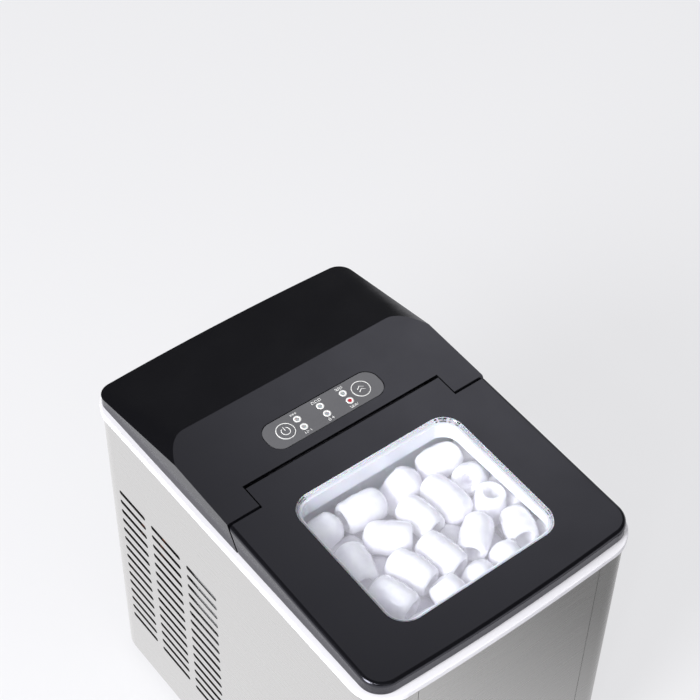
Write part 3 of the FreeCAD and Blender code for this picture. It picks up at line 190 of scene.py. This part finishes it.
def makeSky(look):
    world = bpy.data.worlds.new("studioSky")
    bpy.context.scene.world = world
    world.use_nodes = True
    tree = world.node_tree
    tree.nodes.clear()
    direction = add(tree, "ShaderNodeTexCoord").outputs["Generated"]
    height = add(tree, "ShaderNodeSeparateXYZ", {0: direction}).outputs["Z"]
    turn, rise = math.radians(look["boxAzimuth"]), math.radians(look["boxHeight"])
    middle = (math.cos(rise) * math.sin(turn), math.cos(rise) * math.cos(turn), math.sin(rise))
    nearness = add(tree, "ShaderNodeVectorMath", {0: direction, 1: middle}, operation="DOT_PRODUCT")
    edge = math.cos(math.radians(skySteps[0][0]))
    ranged = add(tree, "ShaderNodeMapRange", {
        "Value": nearness.outputs["Value"], "From Min": edge, "From Max": 1.0})
    bands = add(tree, "ShaderNodeValToRGB", {0: ranged.outputs[0]})
    ramp = bands.color_ramp
    while len(ramp.elements) < len(skySteps):
        ramp.elements.new(0.5)
    for element, (angle, value) in zip(ramp.elements, skySteps):
        element.position = (math.cos(math.radians(angle)) - edge) / (1 - edge)
        element.color = (value, value, value, 1)
    bandLow, bandHigh = look["horizonBand"]
    rim = add(tree, "ShaderNodeMapRange", {
        "Value": height, "From Min": bandLow, "From Max": bandHigh,
        "To Min": look["horizonGlow"], "To Max": 0.0})
    sky = add(tree, "ShaderNodeMix", {0: 1.0, 6: bands.outputs[0], 7: rim.outputs[0]},
              data_type="RGBA", blend_type="LIGHTEN")
    even = (look["ambient"],) * 3 + (1,)
    path = add(tree, "ShaderNodeLightPath")
    lit = add(tree, "ShaderNodeMix", {0: path.outputs["Is Diffuse Ray"], 6: sky.outputs[2], 7: even},
              data_type="RGBA")
    shown = add(tree, "ShaderNodeMix", {0: path.outputs["Is Camera Ray"], 6: lit.outputs[2], 7: (1, 1, 1, 1)},
                data_type="RGBA")
    background = add(tree, "ShaderNodeBackground", {"Color": shown.outputs[2], "Strength": 1.0})
    output = add(tree, "ShaderNodeOutputWorld")
    tree.links.new(background.outputs[0], output.inputs["Surface"])


def makeLamp(name, place, size, power):
    lamp = bpy.data.objects.new(name, bpy.data.lights.new(name, "AREA"))
    lamp.data.shape = "DISK"
    lamp.data.size = size
    lamp.data.energy = power
    bpy.context.scene.collection.objects.link(lamp)
    aim = Vector((0, 0, cadHigh.z / 2)) - Vector(place)
    lamp.matrix_world = Matrix.Translation(place) @ aim.to_track_quat("-Z", "Y").to_matrix().to_4x4()


makeFloor(studio)
makeSky(studio)
for lampName in ("key", "fill", "spark"):
    makeLamp(lampName + "Lamp", *(studio[lampName + ending] for ending in ("Place", "Size", "Power")))
print("studio lit")


# materials

def grainBump(tree, spacing, depth, stretch=(1, 1, 1), detail=2.0):
    # fine relief, its cells spacing apart and depth deep in mm, drawn out along an axis by stretch
    place = add(tree, "ShaderNodeTexCoord").outputs["Object"]
    scaled = add(tree, "ShaderNodeMapping", {
        "Vector": place, "Scale": [1 / (spacing * mm * s) for s in stretch]})
    noise = add(tree, "ShaderNodeTexNoise", {"Vector": scaled.outputs[0], "Scale": 1.0, "Detail": detail})
    bump = add(tree, "ShaderNodeBump", {
        "Strength": 1.0, "Distance": depth * mm, "Height": noise.outputs["Fac"]})
    return noise.outputs["Fac"], bump.outputs["Normal"]


noiseLow, noiseHigh = 0.3, 0.7      # nearly all of a noise texture lies between these


def cloudy(tree, size, lowest, highest):
    # slow variation between two values over patches of about size mm
    place = add(tree, "ShaderNodeTexCoord").outputs["Object"]
    noise = add(tree, "ShaderNodeTexNoise", {"Vector": place, "Scale": 1 / (size * mm), "Detail": 3.0})
    ranged = add(tree, "ShaderNodeMapRange", {
        "Value": noise.outputs["Fac"], "From Min": noiseLow, "From Max": noiseHigh,
        "To Min": lowest, "To Max": highest})
    return ranged.outputs[0]


def shaded(tree, colours, amount):
    # mixes two close colours by a value from 0 to 1
    mix = add(tree, "ShaderNodeMix", {0: amount, 6: linear(colours[0]), 7: linear(colours[1])},
              data_type="RGBA")
    return mix.outputs[2]


sheenPatch = 35     # mm over which a moulding's gloss drifts
tonePatch = 60      # mm over which its colour drifts


def mouldedPlastic(name, look):
    material, tree, output = newMaterial(name)
    normal = grainBump(tree, look["grain"], look["depth"])[1]
    roughness = cloudy(tree, sheenPatch, *look["rough"])
    colour = shaded(tree, look["colours"], cloudy(tree, tonePatch, 0.0, 1.0))
    shader = add(tree, "ShaderNodeBsdfPrincipled", {
        "Base Color": colour, "Roughness": roughness, "IOR": look["ior"], "Normal": normal})
    shader.inputs["Subsurface Weight"].default_value = look.get("depthGlow", 0.0)
    shader.inputs["Subsurface Scale"].default_value = look.get("glowDepth", 2.0) * mm
    shader.inputs["Specular Tint"].default_value = linear(look.get("sheen", "#ffffff"))
    shader.inputs["Coat Weight"].default_value = look.get("coat", 0.0)
    shader.inputs["Coat Roughness"].default_value = 0.08
    tree.links.new(shader.outputs[0], output.inputs["Surface"])
    return material


def workedMetal(name, look):
    material, tree, output = newMaterial(name)
    grain, normal = grainBump(tree, look["grain"], look["depth"], look.get("stretch", (1, 1, 1)))
    roughness = add(tree, "ShaderNodeMapRange", {
        "Value": grain, "From Min": noiseLow, "From Max": noiseHigh,
        "To Min": look["rough"][0], "To Max": look["rough"][1]})
    colour = shaded(tree, look["colours"], cloudy(tree, look.get("patch", 25), 0.0, 1.0))
    shader = add(tree, "ShaderNodeBsdfPrincipled", {
        "Base Color": colour, "Metallic": look.get("metallic", 1.0), "Roughness": roughness.outputs[0],
        "Normal": normal})
    tree.links.new(shader.outputs[0], output.inputs["Surface"])
    return material


plastics = {
    # polished ABS of the lid and console: near black, with one broad soft mirror image of the studio
    "console_black": ("polishedBlackAbs", {
        "colours": ("#0b0b0e", "#0e0e11"), "rough": (0.16, 0.22), "ior": 1.56, "grain": 2.4, "depth": 0.0012,
        "sheen": "#ededff"}),
    # lacquered ABS bezel: pale silver white with a thin clear coat
    "bezel_silver": ("pearlLacqueredAbs", {
        "colours": ("#edecf2", "#f1f0f6"), "rough": (0.28, 0.34), "ior": 1.5, "grain": 0.5, "depth": 0.002,
        "coat": 0.4}),
    # back-printed polycarbonate film: even grey with a fine matt tooth
    "panel_grey": ("printedPolycarbonateFilm", {
        "colours": ("#5c5c60", "#626266"), "rough": (0.34, 0.42), "ior": 1.58,
        "grain": 0.25, "depth": 0.004}),
    # high-impact polystyrene of the liner, basket and lid frame: milky white that glows a little in its edges
    "liner_white": ("vacuumFormedPolystyrene", {
        "colours": ("#eef0f6", "#f5f6fa"), "rough": (0.22, 0.30), "ior": 1.59, "grain": 1.2, "depth": 0.003,
        "depthGlow": 0.25}),
    # frosted lamp lens: pale grey while it's unlit
    "lens_clear": ("frostedLensPolycarbonate", {
        "colours": ("#a1a2a5", "#acadb0"), "rough": (0.35, 0.45), "ior": 1.58, "grain": 0.2, "depth": 0.004,
        "depthGlow": 0.5}),
    # moulded rubber: deep black, matt, with a faint bloom
    "rubber_black": ("mouldedRubber", {
        "colours": ("#151515", "#1e1e1f"), "rough": (0.62, 0.78), "ior": 1.52, "grain": 0.4, "depth": 0.015}),
    # extruded silicone hose: milky and slightly see-through
    "hose_clear": ("extrudedSilicone", {
        "colours": ("#d6d4cc", "#e2e0d8"), "rough": (0.3, 0.4), "ior": 1.41, "grain": 0.8, "depth": 0.006,
        "depthGlow": 0.6}),
    # expanded polystyrene: beads about 3 mm across, greyed from white as painted shade, so that it reads dark in
    # the shade behind the slots
    "foam_white": ("shadeGreyedPolystyrene", {
        "colours": ("#7f8082", "#8d8e90"), "rough": (0.7, 0.85), "ior": 1.5, "grain": 3.0, "depth": 0.12}),
    # glass-filled nylon of the fan, pump and boards' supports: charcoal with a sandy sheen
    "machine_plastic": ("mouldedGlassFilledNylon", {
        "colours": ("#222326", "#2a2b2e"), "rough": (0.42, 0.55), "ior": 1.53, "grain": 0.35, "depth": 0.02}),
    # glass-epoxy board under green solder mask
    "board_green": ("maskedGlassEpoxy", {
        "colours": ("#154a2a", "#1c5a33"), "rough": (0.28, 0.4), "ior": 1.55, "grain": 0.6, "depth": 0.01,
        "coat": 0.4}),
}

metals = {
    # zinc-coated rear sheet: cool grey, with broad spangle
    "rear_steel": ("zincCoatedSheet", {
        "colours": ("#9fa2a6", "#b3b6ba"), "rough": (0.34, 0.5), "grain": 9.0, "depth": 0.004, "patch": 12}),
    # galvanised pan and frames: duller, with smaller spangle
    "pan_steel": ("galvanisedSheet", {
        "colours": ("#8d9094", "#a6a9ad"), "rough": (0.38, 0.55), "grain": 5.0, "depth": 0.006, "patch": 7}),
    # nickel-plated screws, pins and shafts: bright with turning marks
    "steel": ("platedSteel", {
        "colours": ("#b9b9bb", "#c9c9cb"), "rough": (0.2, 0.32), "grain": 0.5, "depth": 0.004}),
    # drawn copper pipe darkened to a warm brown as painted shade, so that it reads dark through the slots; darker
    # in random patches
    "copper": ("shadeDarkenedCopper", {
        "colours": ("#74452f", "#9a6145"), "rough": (0.24, 0.42), "grain": 1.6, "depth": 0.008, "patch": 18}),
    # hot-tinned copper of the freezing tube and fingers: soft silver
    "tinned": ("hotTinnedCopper", {
        "colours": ("#b5b5b0", "#cfcfca"), "rough": (0.24, 0.4), "grain": 2.2, "depth": 0.02, "patch": 8}),
    # fin stock coloured near black as painted shade, so that the slots read dark, with a dull gleam along the
    # rolling lines
    "fin_alu": ("shadeDarkenedFinStock", {
        "colours": ("#1b1c1d", "#262728"), "rough": (0.4, 0.55), "grain": 0.6, "depth": 0.004,
        "stretch": (1, 1, 30), "metallic": 0.0}),
    # black enamel baked on the compressor's can: smooth with a slight orange peel
    "black_paint": ("bakedBlackEnamel", {
        "colours": ("#121214", "#19191b"), "rough": (0.22, 0.32), "grain": 1.8, "depth": 0.01,
        "metallic": 0.0}),
}


def brushedSteel(name, look):
    # stainless sheet with long brush lines round the body, which smear reflections across them
    material, tree, output = newMaterial(name)
    place = add(tree, "ShaderNodeTexCoord").outputs["Object"]
    along = 1 / (look["lineLength"] * mm)
    across = 1 / (look["lineSpacing"] * mm)
    scaled = add(tree, "ShaderNodeMapping", {"Vector": place, "Scale": (along, along, across)})
    lines = add(tree, "ShaderNodeTexNoise", {"Vector": scaled.outputs[0], "Scale": 1.0, "Detail": 4.0})
    bump = add(tree, "ShaderNodeBump", {
        "Strength": 1.0, "Distance": look["lineDepth"] * mm, "Height": lines.outputs["Fac"]})
    rough = add(tree, "ShaderNodeMapRange", {
        "Value": lines.outputs["Fac"], "From Min": look["lineRange"][0], "From Max": look["lineRange"][1],
        "To Min": look["rough"][0], "To Max": look["rough"][1]})
    colour = shaded(tree, look["colours"], lines.outputs["Fac"])
    tangent = add(tree, "ShaderNodeTangent", direction_type="RADIAL", axis="Z")
    shader = add(tree, "ShaderNodeBsdfPrincipled", {
        "Base Color": colour, "Metallic": 1.0, "Roughness": rough.outputs[0],
        "Anisotropic": look["anisotropy"],
        "Normal": bump.outputs[0], "Tangent": tangent.outputs[0]})
    tree.links.new(shader.outputs[0], output.inputs["Surface"])
    return material


steelLook = {
    "colours": ("#bfbebd", "#c4c3c1"), "rough": (0.25, 0.32),
    "lineRange": (0.35, 0.65), "anisotropy": 0.55,
    # real lines are 0.1 mm apart, too fine to show
    "lineLength": 45.0, "lineSpacing": 0.7, "lineDepth": 0.0004,
}


def windowPane(name, look):
    # moulded clear polycarbonate: bends what is behind its rims, and lets the lamps through
    material, tree, output = newMaterial(name)
    normal = grainBump(tree, look["grain"], look["depth"])[1]
    glass = add(tree, "ShaderNodeBsdfPrincipled", {
        "Base Color": linear(look["tint"]), "Roughness": look["rough"], "IOR": look["ior"],
        "Transmission Weight": 1.0, "Normal": normal})
    through = add(tree, "ShaderNodeBsdfTransparent", {"Color": linear(look["tint"])})
    path = add(tree, "ShaderNodeLightPath")
    light = add(tree, "ShaderNodeMath", {
        0: path.outputs["Is Shadow Ray"], 1: path.outputs["Is Diffuse Ray"]}, operation="MAXIMUM")
    mixed = add(tree, "ShaderNodeMixShader", {
        0: light.outputs[0], 1: glass.outputs[0], 2: through.outputs[0]})
    tree.links.new(mixed.outputs[0], output.inputs["Surface"])
    return material


windowLook = {"tint": "#fafbfe", "rough": 0.03, "ior": 1.52, "grain": 6.0, "depth": 0.001}


def litLens(name, look):
    # red lamp lens: moulded polycarbonate, lit faintly from below, with a slight mottle
    material, tree, output = newMaterial(name)
    colour = shaded(tree, look["colours"], cloudy(tree, look["speck"], 0.0, 1.0))
    shader = add(tree, "ShaderNodeBsdfPrincipled", {
        "Base Color": colour, "Roughness": look["rough"], "IOR": look["ior"], "Emission Color": colour,
        "Emission Strength": look["glow"]})
    tree.links.new(shader.outputs[0], output.inputs["Surface"])
    return material


litLook = {"colours": ("#a80c22", "#c41430"), "speck": 0.8, "rough": 0.35, "ior": 1.58, "glow": 0.10}


def paintNodes():
    slots = {}
    for recipe, looks in ((mouldedPlastic, plastics), (workedMetal, metals)):
        for slotName, (name, look) in looks.items():
            slots[slotName] = recipe(name, look)
    slots["stainless"] = brushedSteel("brushedStainlessSheet", steelLook)
    slots["window_clear"] = windowPane("mouldedClearPolycarbonate", windowLook)
    slots["lens_red"] = litLens("litRedLens", litLook)
    for part in frame["record"]["subparts"]:
        holder = frame["nodes"][part["node"]]
        holder.data.materials.clear()
        holder.data.materials.append(slots[part["material_slot"]])


paintNodes()


# marks on the control plate

def makePiece(name, shape, material, body):
    # turns a bmesh into a piece that rides on a body
    mesh = bpy.data.meshes.new(name)
    shape.to_mesh(mesh)
    shape.free()
    for face in mesh.polygons:
        face.use_smooth = True
    mesh.materials.append(material)
    piece = bpy.data.objects.new(name, mesh)
    bpy.context.scene.collection.objects.link(piece)
    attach(piece, body)
    return piece


def plateFrame():
    # a frame in the middle of the control plate's top, with Z out of its face
    low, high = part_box("control_panel")
    press = next(j for j in frame["joints"] if j["name"] == "power_key_press")
    normal = -Vector(press["axis"]).normalized()
    right = Vector((1, 0, 0))
    up = normal.cross(right)
    turn = Matrix((right, up, normal)).transposed().to_4x4()
    return (low + high) / 2, turn


marks = {
    "thick": 0.16,          # mm, raised ink
    "keyRingThick": 0.26,   # a key's ring is printed twice
    "sunk": 0.03,           # mm below the surface it stands on
    "plateHalf": 0.55,      # half the plate's thickness
    "keyProud": 0.3,        # a key's face above the console's
    "plateSunk": 0.1,
    "lampRing": (1.56, 3.0),    # inner and outer radius
    "keyRing": (6.68, 7.4),
    "stroke": 0.4,
    "markRow": 9.3,         # from the plate's middle line to the marks'
    "powerArc": (3.3, 122, 418),   # radius, and the angles where it starts and stops
    "powerStroke": 0.62,
    "arrowReach": 2.8,      # half the width of an arrow head
    "arrowRise": 1.4,       # each head's middle above or below the key's
    "arrowStroke": 0.55,
}


def ribbon(shape, points, width, closed, transform, thick):
    # flat raised line of even width along points
    count = len(points)
    rails = []
    for i, point in enumerate(points):
        before = points[(i - 1) % count] if closed or i > 0 else point
        after = points[(i + 1) % count] if closed or i < count - 1 else point
        run = (Vector(after) - Vector(before)).normalized()
        side = Vector((-run.y, run.x)) * width / 2
        rails.append((Vector(point) + side, Vector(point) - side))
    grid = []
    for left, right in rails:
        corners = [(left, 0), (left, thick), (right, thick), (right, 0)]
        grid.append([shape.verts.new(transform @ Vector((p.x, p.y, z))) for p, z in corners])
    last = count if closed else count - 1
    for i in range(last):
        here, there = grid[i], grid[(i + 1) % count]
        for k in range(4):
            n = (k + 1) % 4
            shape.faces.new((here[k], here[n], there[n], there[k]))
    if not closed:
        shape.faces.new(grid[0][::-1])
        shape.faces.new(grid[-1])


def arc(centre, radius, start, stop, count):
    turns = [math.radians(start + (stop - start) * i / count) for i in range(count + 1)]
    points = [(centre[0] + radius * math.cos(t), centre[1] + radius * math.sin(t)) for t in turns]
    return points[:-1] if abs(stop - start) >= 360 else points


def cube(half, x, y):
    return [(x - half, y - half), (x + half, y - half), (x + half, y + half), (x - half, y + half)], True


def line(*points):
    return list(points), False


def markShapes(x, y):
    # one small picture for each lamp, centred on x, y: a list of (points, closed)
    waves = [line(*[(x - 3 + 0.4 * i, y + rise + 0.5 * math.sin(i * 1.05)) for i in range(16)])
             for rise in (0.6, -0.7)]
    arrow = [(x - 1.0, y - 1.0), (x + 1.0, y), (x - 1.0, y + 1.0)]
    drop = arc((x - 1.6, y - 0.4), 0.85, -215, 35, 10) + [(x - 1.6, y + 1.4)]
    tub = line((x - 3.4, y + 1.0), (x - 2.7, y - 1.0), (x + 2.7, y - 1.0), (x + 3.4, y + 1.0))
    return {
        "small": [cube(0.5, x + shift, y) for shift in (-2, 0, 2)],
        "large": [cube(0.95, x + shift, y) for shift in (-3, 0, 3)],
        "rinse": waves,
        "running": [(arrow, True)] + [line((x + shift, y - 1), (x + shift, y + 1)) for shift in (-2.6, 2.6)],
        "water": [
            (drop, True), line((x + 0.6, y), (x + 2.8, y)), line((x + 1.7, y - 1.1), (x + 1.7, y + 1.1))],
        "full": [tub, cube(0.5, x - 1.2, y), cube(0.5, x + 1.2, y)],
    }


# each picture's column and row on the plate
lampMarks = (
    ("small", -1, 1), ("large", 0, 1), ("rinse", 1, 1),
    ("running", -1, -1), ("water", 0, -1), ("full", 1, -1))


def middleX(node):
    low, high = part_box(node)
    return (low.x + high.x) / 2 / mm


def ring(shape, x, y, radii, count, base, thick):
    inner, outer = radii
    ribbon(shape, arc((x, y), (inner + outer) / 2, 0, 360, count), outer - inner, True, base, thick)


def makePlateMarks(look, origin):
    # printed rings round the lamps and keys, and a small picture beside each lamp
    low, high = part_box("full_lamp_lens")
    lamp = (low + high) / 2 - origin.translation
    pitch = lamp.x / mm
    row = abs(lamp.y) / mm
    base = origin @ Matrix.Translation((0, 0, look["plateHalf"] - look["sunk"]))
    shape = bmesh.new()
    for i in (-1, 0, 1):
        for side in (-1, 1):
            ring(shape, i * pitch, side * row, look["lampRing"], 40, base, look["thick"])
    for node in ("power_button", "select_button"):
        ring(shape, middleX(node), 0, look["keyRing"], 72, base, look["keyRingThick"])
    makePiece("plateRings", shape, inkMaterial, "housing")
    shape = bmesh.new()
    for name, i, side in lampMarks:
        for points, closed in markShapes(i * pitch, side * look["markRow"])[name]:
            ribbon(shape, points, look["stroke"], closed, base, look["thick"])
    makePiece("plateMarks", shape, inkMaterial, "housing")


def makeKeyMarks(look, origin):
    # a power sign on the left key; two arrow heads on the right one: step to the next setting
    radius, start, stop = look["powerArc"]
    reach = look["arrowReach"]
    power = [line(*arc((0, -0.2), radius, start, stop, 44)), line((0, 0.3), (0, 4.1))]
    arrows = [line((-reach, rise - 1), (0, rise + 1), (reach, rise - 1))
              for rise in (-look["arrowRise"], look["arrowRise"])]
    proud = look["plateHalf"] + look["plateSunk"] + look["keyProud"] - look["sunk"]
    signs = (("power", power, look["powerStroke"]), ("select", arrows, look["arrowStroke"]))
    for key, strokes, width in signs:
        top = origin @ Matrix.Translation((middleX(key + "_button"), 0, proud))
        shape = bmesh.new()
        for points, closed in strokes:
            ribbon(shape, points, width, closed, top, look["thick"])
        makePiece(key + "_marks", shape, inkMaterial, key + "_key")


inkMaterial = mouldedPlastic("whitePrintedInk", {
    # screen ink: opaque white, slightly raised and satin
    "colours": ("#e6e6e6", "#f2f2f2"), "rough": (0.35, 0.5), "ior": 1.5, "grain": 0.3, "depth": 0.006})
plateMiddle, plateTurn = plateFrame()
plateOrigin = Matrix.Translation(plateMiddle) @ plateTurn @ Matrix.Diagonal((mm, mm, mm, 1))
makePlateMarks(marks, plateOrigin)
makeKeyMarks(marks, plateOrigin)
print("plate marks printed")


# ice in the basket

iceLook = {
    "count": 66,
    "radius": (12.2, 13.6),      # mm
    "half": (4.8, 7.6),          # mm from the middle to the centre of each round end
    "wall": 3.0,                 # basket wall
    "air": 3.0,                  # between the basket's walls and the pile
    "bottom": 45.0,              # height of the pile's floor above the basket's: pieces below are never seen
    "clear": 3.6,                # the pile's edge stays this far below the lid's frame, mm
    "heap": 8.0,                 # the pile's middle rises by this much into the space under the window
    "run": 12.0,                 # over this distance from the frame's opening
    "opening": 9.0,              # and the frame's opening lies this far inside the window's plan
    "seed": 11,
}

# how the pieces are dropped in and come to rest
iceDrop = {
    "columns": 6,           # the first layout: so many pieces across, and deep, in each layer
    "rows": 4,
    "inset": 15.0,          # mm from the pile's sides
    "firstLayer": 14.0,
    "layerHeight": 22.0,
    "scatter": 3.0,
    "lie": (1, 1, 0.45),    # pieces lie rather than stand
    "steps": 420,
    "turnStep": 200,        # from here on they float up against the lid
    "fall": -0.10,          # mm per step, per step
    "rise": 0.05,
    "sweeps": 5,
    "push": 0.28,           # share of an overlap that each sweep takes out
    "keep": 0.86,           # share of the speed kept from step to step
}


def firstLayout(draw, drop, low, high, half):
    # pieces in loose layers; gives the centres of both ends of each
    count = len(half)
    middle = np.zeros((count, 3))
    span = high - low - 2 * drop["inset"]
    for i in range(count):
        layer, spot = divmod(i, drop["columns"] * drop["rows"])
        row, column = divmod(spot, drop["columns"])
        middle[i] = (
            low[0] + drop["inset"] + (column + 0.5) * span[0] / drop["columns"],
            low[1] + drop["inset"] + (row + 0.5) * span[1] / drop["rows"],
            low[2] + drop["firstLayer"] + layer * drop["layerHeight"])
    middle += draw.uniform(-drop["scatter"], drop["scatter"], (count, 3))
    lean = draw.normal(0, 1, (count, 3)) * drop["lie"]
    lean /= np.linalg.norm(lean, axis=1)[:, None]
    return np.concatenate([middle - lean * half[:, None], middle + lean * half[:, None]])


def settle(look, drop, low, high, roof):
    # lets round-ended pieces come to rest in the basket under the lid; each is two balls on a stick
    draw = np.random.default_rng(look["seed"])
    count = look["count"]
    radius = draw.uniform(*look["radius"], count)
    half = draw.uniform(*look["half"], count)
    ends = firstLayout(draw, drop, low, high, half)
    size = np.concatenate([radius, radius])
    moving = np.zeros_like(ends)
    owner = np.concatenate([np.arange(count)] * 2)
    notSame = owner[:, None] != owner[None, :]
    reach = size[:, None] + size[None, :]
    for step in range(drop["steps"]):
        before = ends.copy()
        moving[:, 2] += drop["fall"] if step < drop["turnStep"] else drop["rise"]
        ends = ends + moving
        for sweep in range(drop["sweeps"]):
            apart = ends[:, None, :] - ends[None, :, :]
            distance = np.sqrt((apart ** 2).sum(2)) + 1e-9
            overlap = np.where(notSame & (distance < reach), reach - distance, 0)
            ends = ends + (apart / distance[:, :, None] * overlap[:, :, None]).sum(1) * drop["push"]
            stick = ends[:count] - ends[count:]
            length = np.linalg.norm(stick, axis=1)
            fix = stick / length[:, None] * ((2 * half - length) / 2)[:, None]
            ends[:count] += fix
            ends[count:] -= fix
            for axis in (0, 1):
                ends[:, axis] = np.clip(ends[:, axis], low[axis] + size, high[axis] - size)
            ends[:, 2] = np.clip(ends[:, 2], low[2] + size, roof(ends[:, 0], ends[:, 1]) - size)
        moving = (ends - before) * drop["keep"]
    middle = (ends[:count] + ends[count:]) / 2
    lean = ends[count:] - ends[:count]
    lean /= np.linalg.norm(lean, axis=1)[:, None]
    return zip(middle, lean, radius, half)


iceForm = {
    "end": 0.92,            # the flat end lies this share of the radius past the round end's centre
    "bore": (0.36, 0.48),   # the bore's radius, as a share of the piece's
    "depth": (0.7, 1.1),    # and its depth, as a share of half the length
    "waist": 0.94,          # the ends are this much thinner than the middle
    "dome": 0.62,           # height of the domed end, as a share of the radius
    "lip": 0.42,            # and of the rounding at the mouth
    "ridges": (0.034, 0.020, 0.018),   # how uneven the sides are
    "tilt": 0.25,           # mm, how uneven the ends are
    "around": 28,
}


def iceOutline(draw, form, radius, half):
    # radius and height along one piece, from the tip of its dome round the mouth to the bottom of its bore
    length = half + radius * form["end"]
    bore = radius * draw.uniform(*form["bore"])
    waist, dome, lip = form["waist"], form["dome"], form["lip"]
    outline = [(0.0, -length)]
    for i in range(1, 6):
        turn = math.radians(90 * i / 5)
        outline.append((radius * waist * math.sin(turn), -length + radius * dome * (1 - math.cos(turn))))
    for i in range(1, 5):
        share = i / 5
        bulge = radius * (waist + (1 - waist) * math.sin(share * math.pi))
        outline.append((bulge, -length + radius * dome + share * (2 * length - radius * 1.1)))
    for i in range(5):
        turn = math.radians(90 * i / 4)
        outline.append((
            radius * (0.62 + 0.30 * math.cos(turn)), length - radius * lip * (1 - math.sin(turn))))
    depth = length * draw.uniform(*form["depth"])
    return outline + [
        (bore + 1.2, length - 0.3), (bore, length - 1.6), (bore * 0.86, length - depth * 0.6),
        (bore * 0.55, length - depth), (0.0, length - depth - 1.0)]


def iceMesh(shape, draw, form, middle, lean, radius, half):
    # one hollow bullet: a domed end, bulged sides and a mouth with a bore in the other end
    outline = iceOutline(draw, form, radius, half)
    turnTo = Vector(lean).to_track_quat("Z", "X").to_matrix()
    if draw.random() < 0.5:
        turnTo = turnTo @ Matrix.Rotation(math.pi, 3, "X")
    phase = [draw.uniform(0, math.tau) for _ in range(4)]
    around = form["around"]
    oval, threefold, fine = form["ridges"]
    rings = []
    for r, z in outline:
        spots = []
        for k in range(1 if r == 0 else around):
            a = math.tau * k / around
            wobble = 1 + oval * math.sin(2 * a + phase[0] + z * 0.11) + threefold * math.sin(3 * a + phase[1])
            wobble += fine * math.sin(z * 0.55 + phase[2] + a)
            lift = form["tilt"] * math.sin(2 * a + phase[3])
            local = Vector((r * wobble * math.cos(a), r * wobble * math.sin(a), z + lift))
            spots.append(shape.verts.new((Vector(middle) + turnTo @ local) * mm))
        rings.append(spots)
    for here, there in zip(rings, rings[1:]):
        for k in range(around):
            n = (k + 1) % around
            if len(here) == 1:
                corners = (here[0], there[n], there[k])
            elif len(there) == 1:
                corners = (here[k], here[n], there[0])
            else:
                corners = (here[k], here[n], there[n], there[k])
            shape.faces.new(corners)


def iceMaterial(name, look):
    # ice frozen on cold fingers: a clear rind over a cloudy core, wet on the outside, with a faint painted glow in
    # its own colour
    material, tree, output = newMaterial(name)
    normal = grainBump(tree, look["grain"], look["depth"], detail=3.0)[1]
    colour = shaded(tree, look["colours"], cloudy(tree, look["cloud"], 0.0, 1.0))
    roughness = cloudy(tree, look["wetPatch"], *look["rough"])
    shader = add(tree, "ShaderNodeBsdfPrincipled", {
        "Base Color": colour, "Roughness": roughness, "IOR": look["ior"], "Normal": normal,
        "Subsurface Weight": look["glow"], "Subsurface Scale": look["glowDepth"] * mm,
        "Subsurface Radius": (0.97, 0.95, 1.0), "Coat Weight": 0.5, "Coat Roughness": 0.06,
        "Coat IOR": look["waterIor"],
        # painted glow: the ice emits its own colour faintly
        "Emission Color": colour, "Emission Strength": look["inner"]})
    tree.links.new(shader.outputs[0], output.inputs["Surface"])
    return material


iceFinish = {
    "colours": ("#eae8ef", "#faf9fd"), "rough": (0.14, 0.30), "ior": 1.31, "waterIor": 1.33,
    "grain": 5.0, "depth": 0.22, "cloud": 9.0, "wetPatch": 6.0,
    "glow": 0.9, "glowDepth": 14.0,
    "inner": 0.075,    # painted glow: emission standing in for light that has wandered through the heap
}


def makeIce(look):
    low, high = (np.array(corner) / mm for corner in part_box("ice_basket"))
    inLow = low + look["wall"] + (look["air"], look["air"], look["bottom"])
    inHigh = high - look["wall"] - (look["air"], look["air"], 0)
    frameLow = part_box("lid_inner_frame")[0].z / mm
    paneLow, paneHigh = (np.array(corner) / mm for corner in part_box("lid_window"))

    def roof(x, y):
        # just under the lid's frame, and domed where the frame is open
        sideways = paneHigh[0] - look["opening"] - np.abs(x)
        lengthways = np.minimum(y - paneLow[1], paneHigh[1] - y) - look["opening"]
        share = np.clip(np.minimum(sideways, lengthways) / look["run"], 0, 1)
        return frameLow - look["clear"] + look["heap"] * share * share * (3 - 2 * share)

    draw = random.Random(look["seed"])
    shape = bmesh.new()
    for placed in settle(look, iceDrop, inLow, inHigh, roof):
        iceMesh(shape, draw, iceForm, *placed)
    piece = makePiece("iceHeap", shape, iceMaterial("cloudyWetIcePaintedGlow", iceFinish), "basket")
    print("ice settled:", look["count"], "pieces, top", round(max(v.co.z for v in piece.data.vertices), 4))


makeIce(iceLook)


print("scene built")
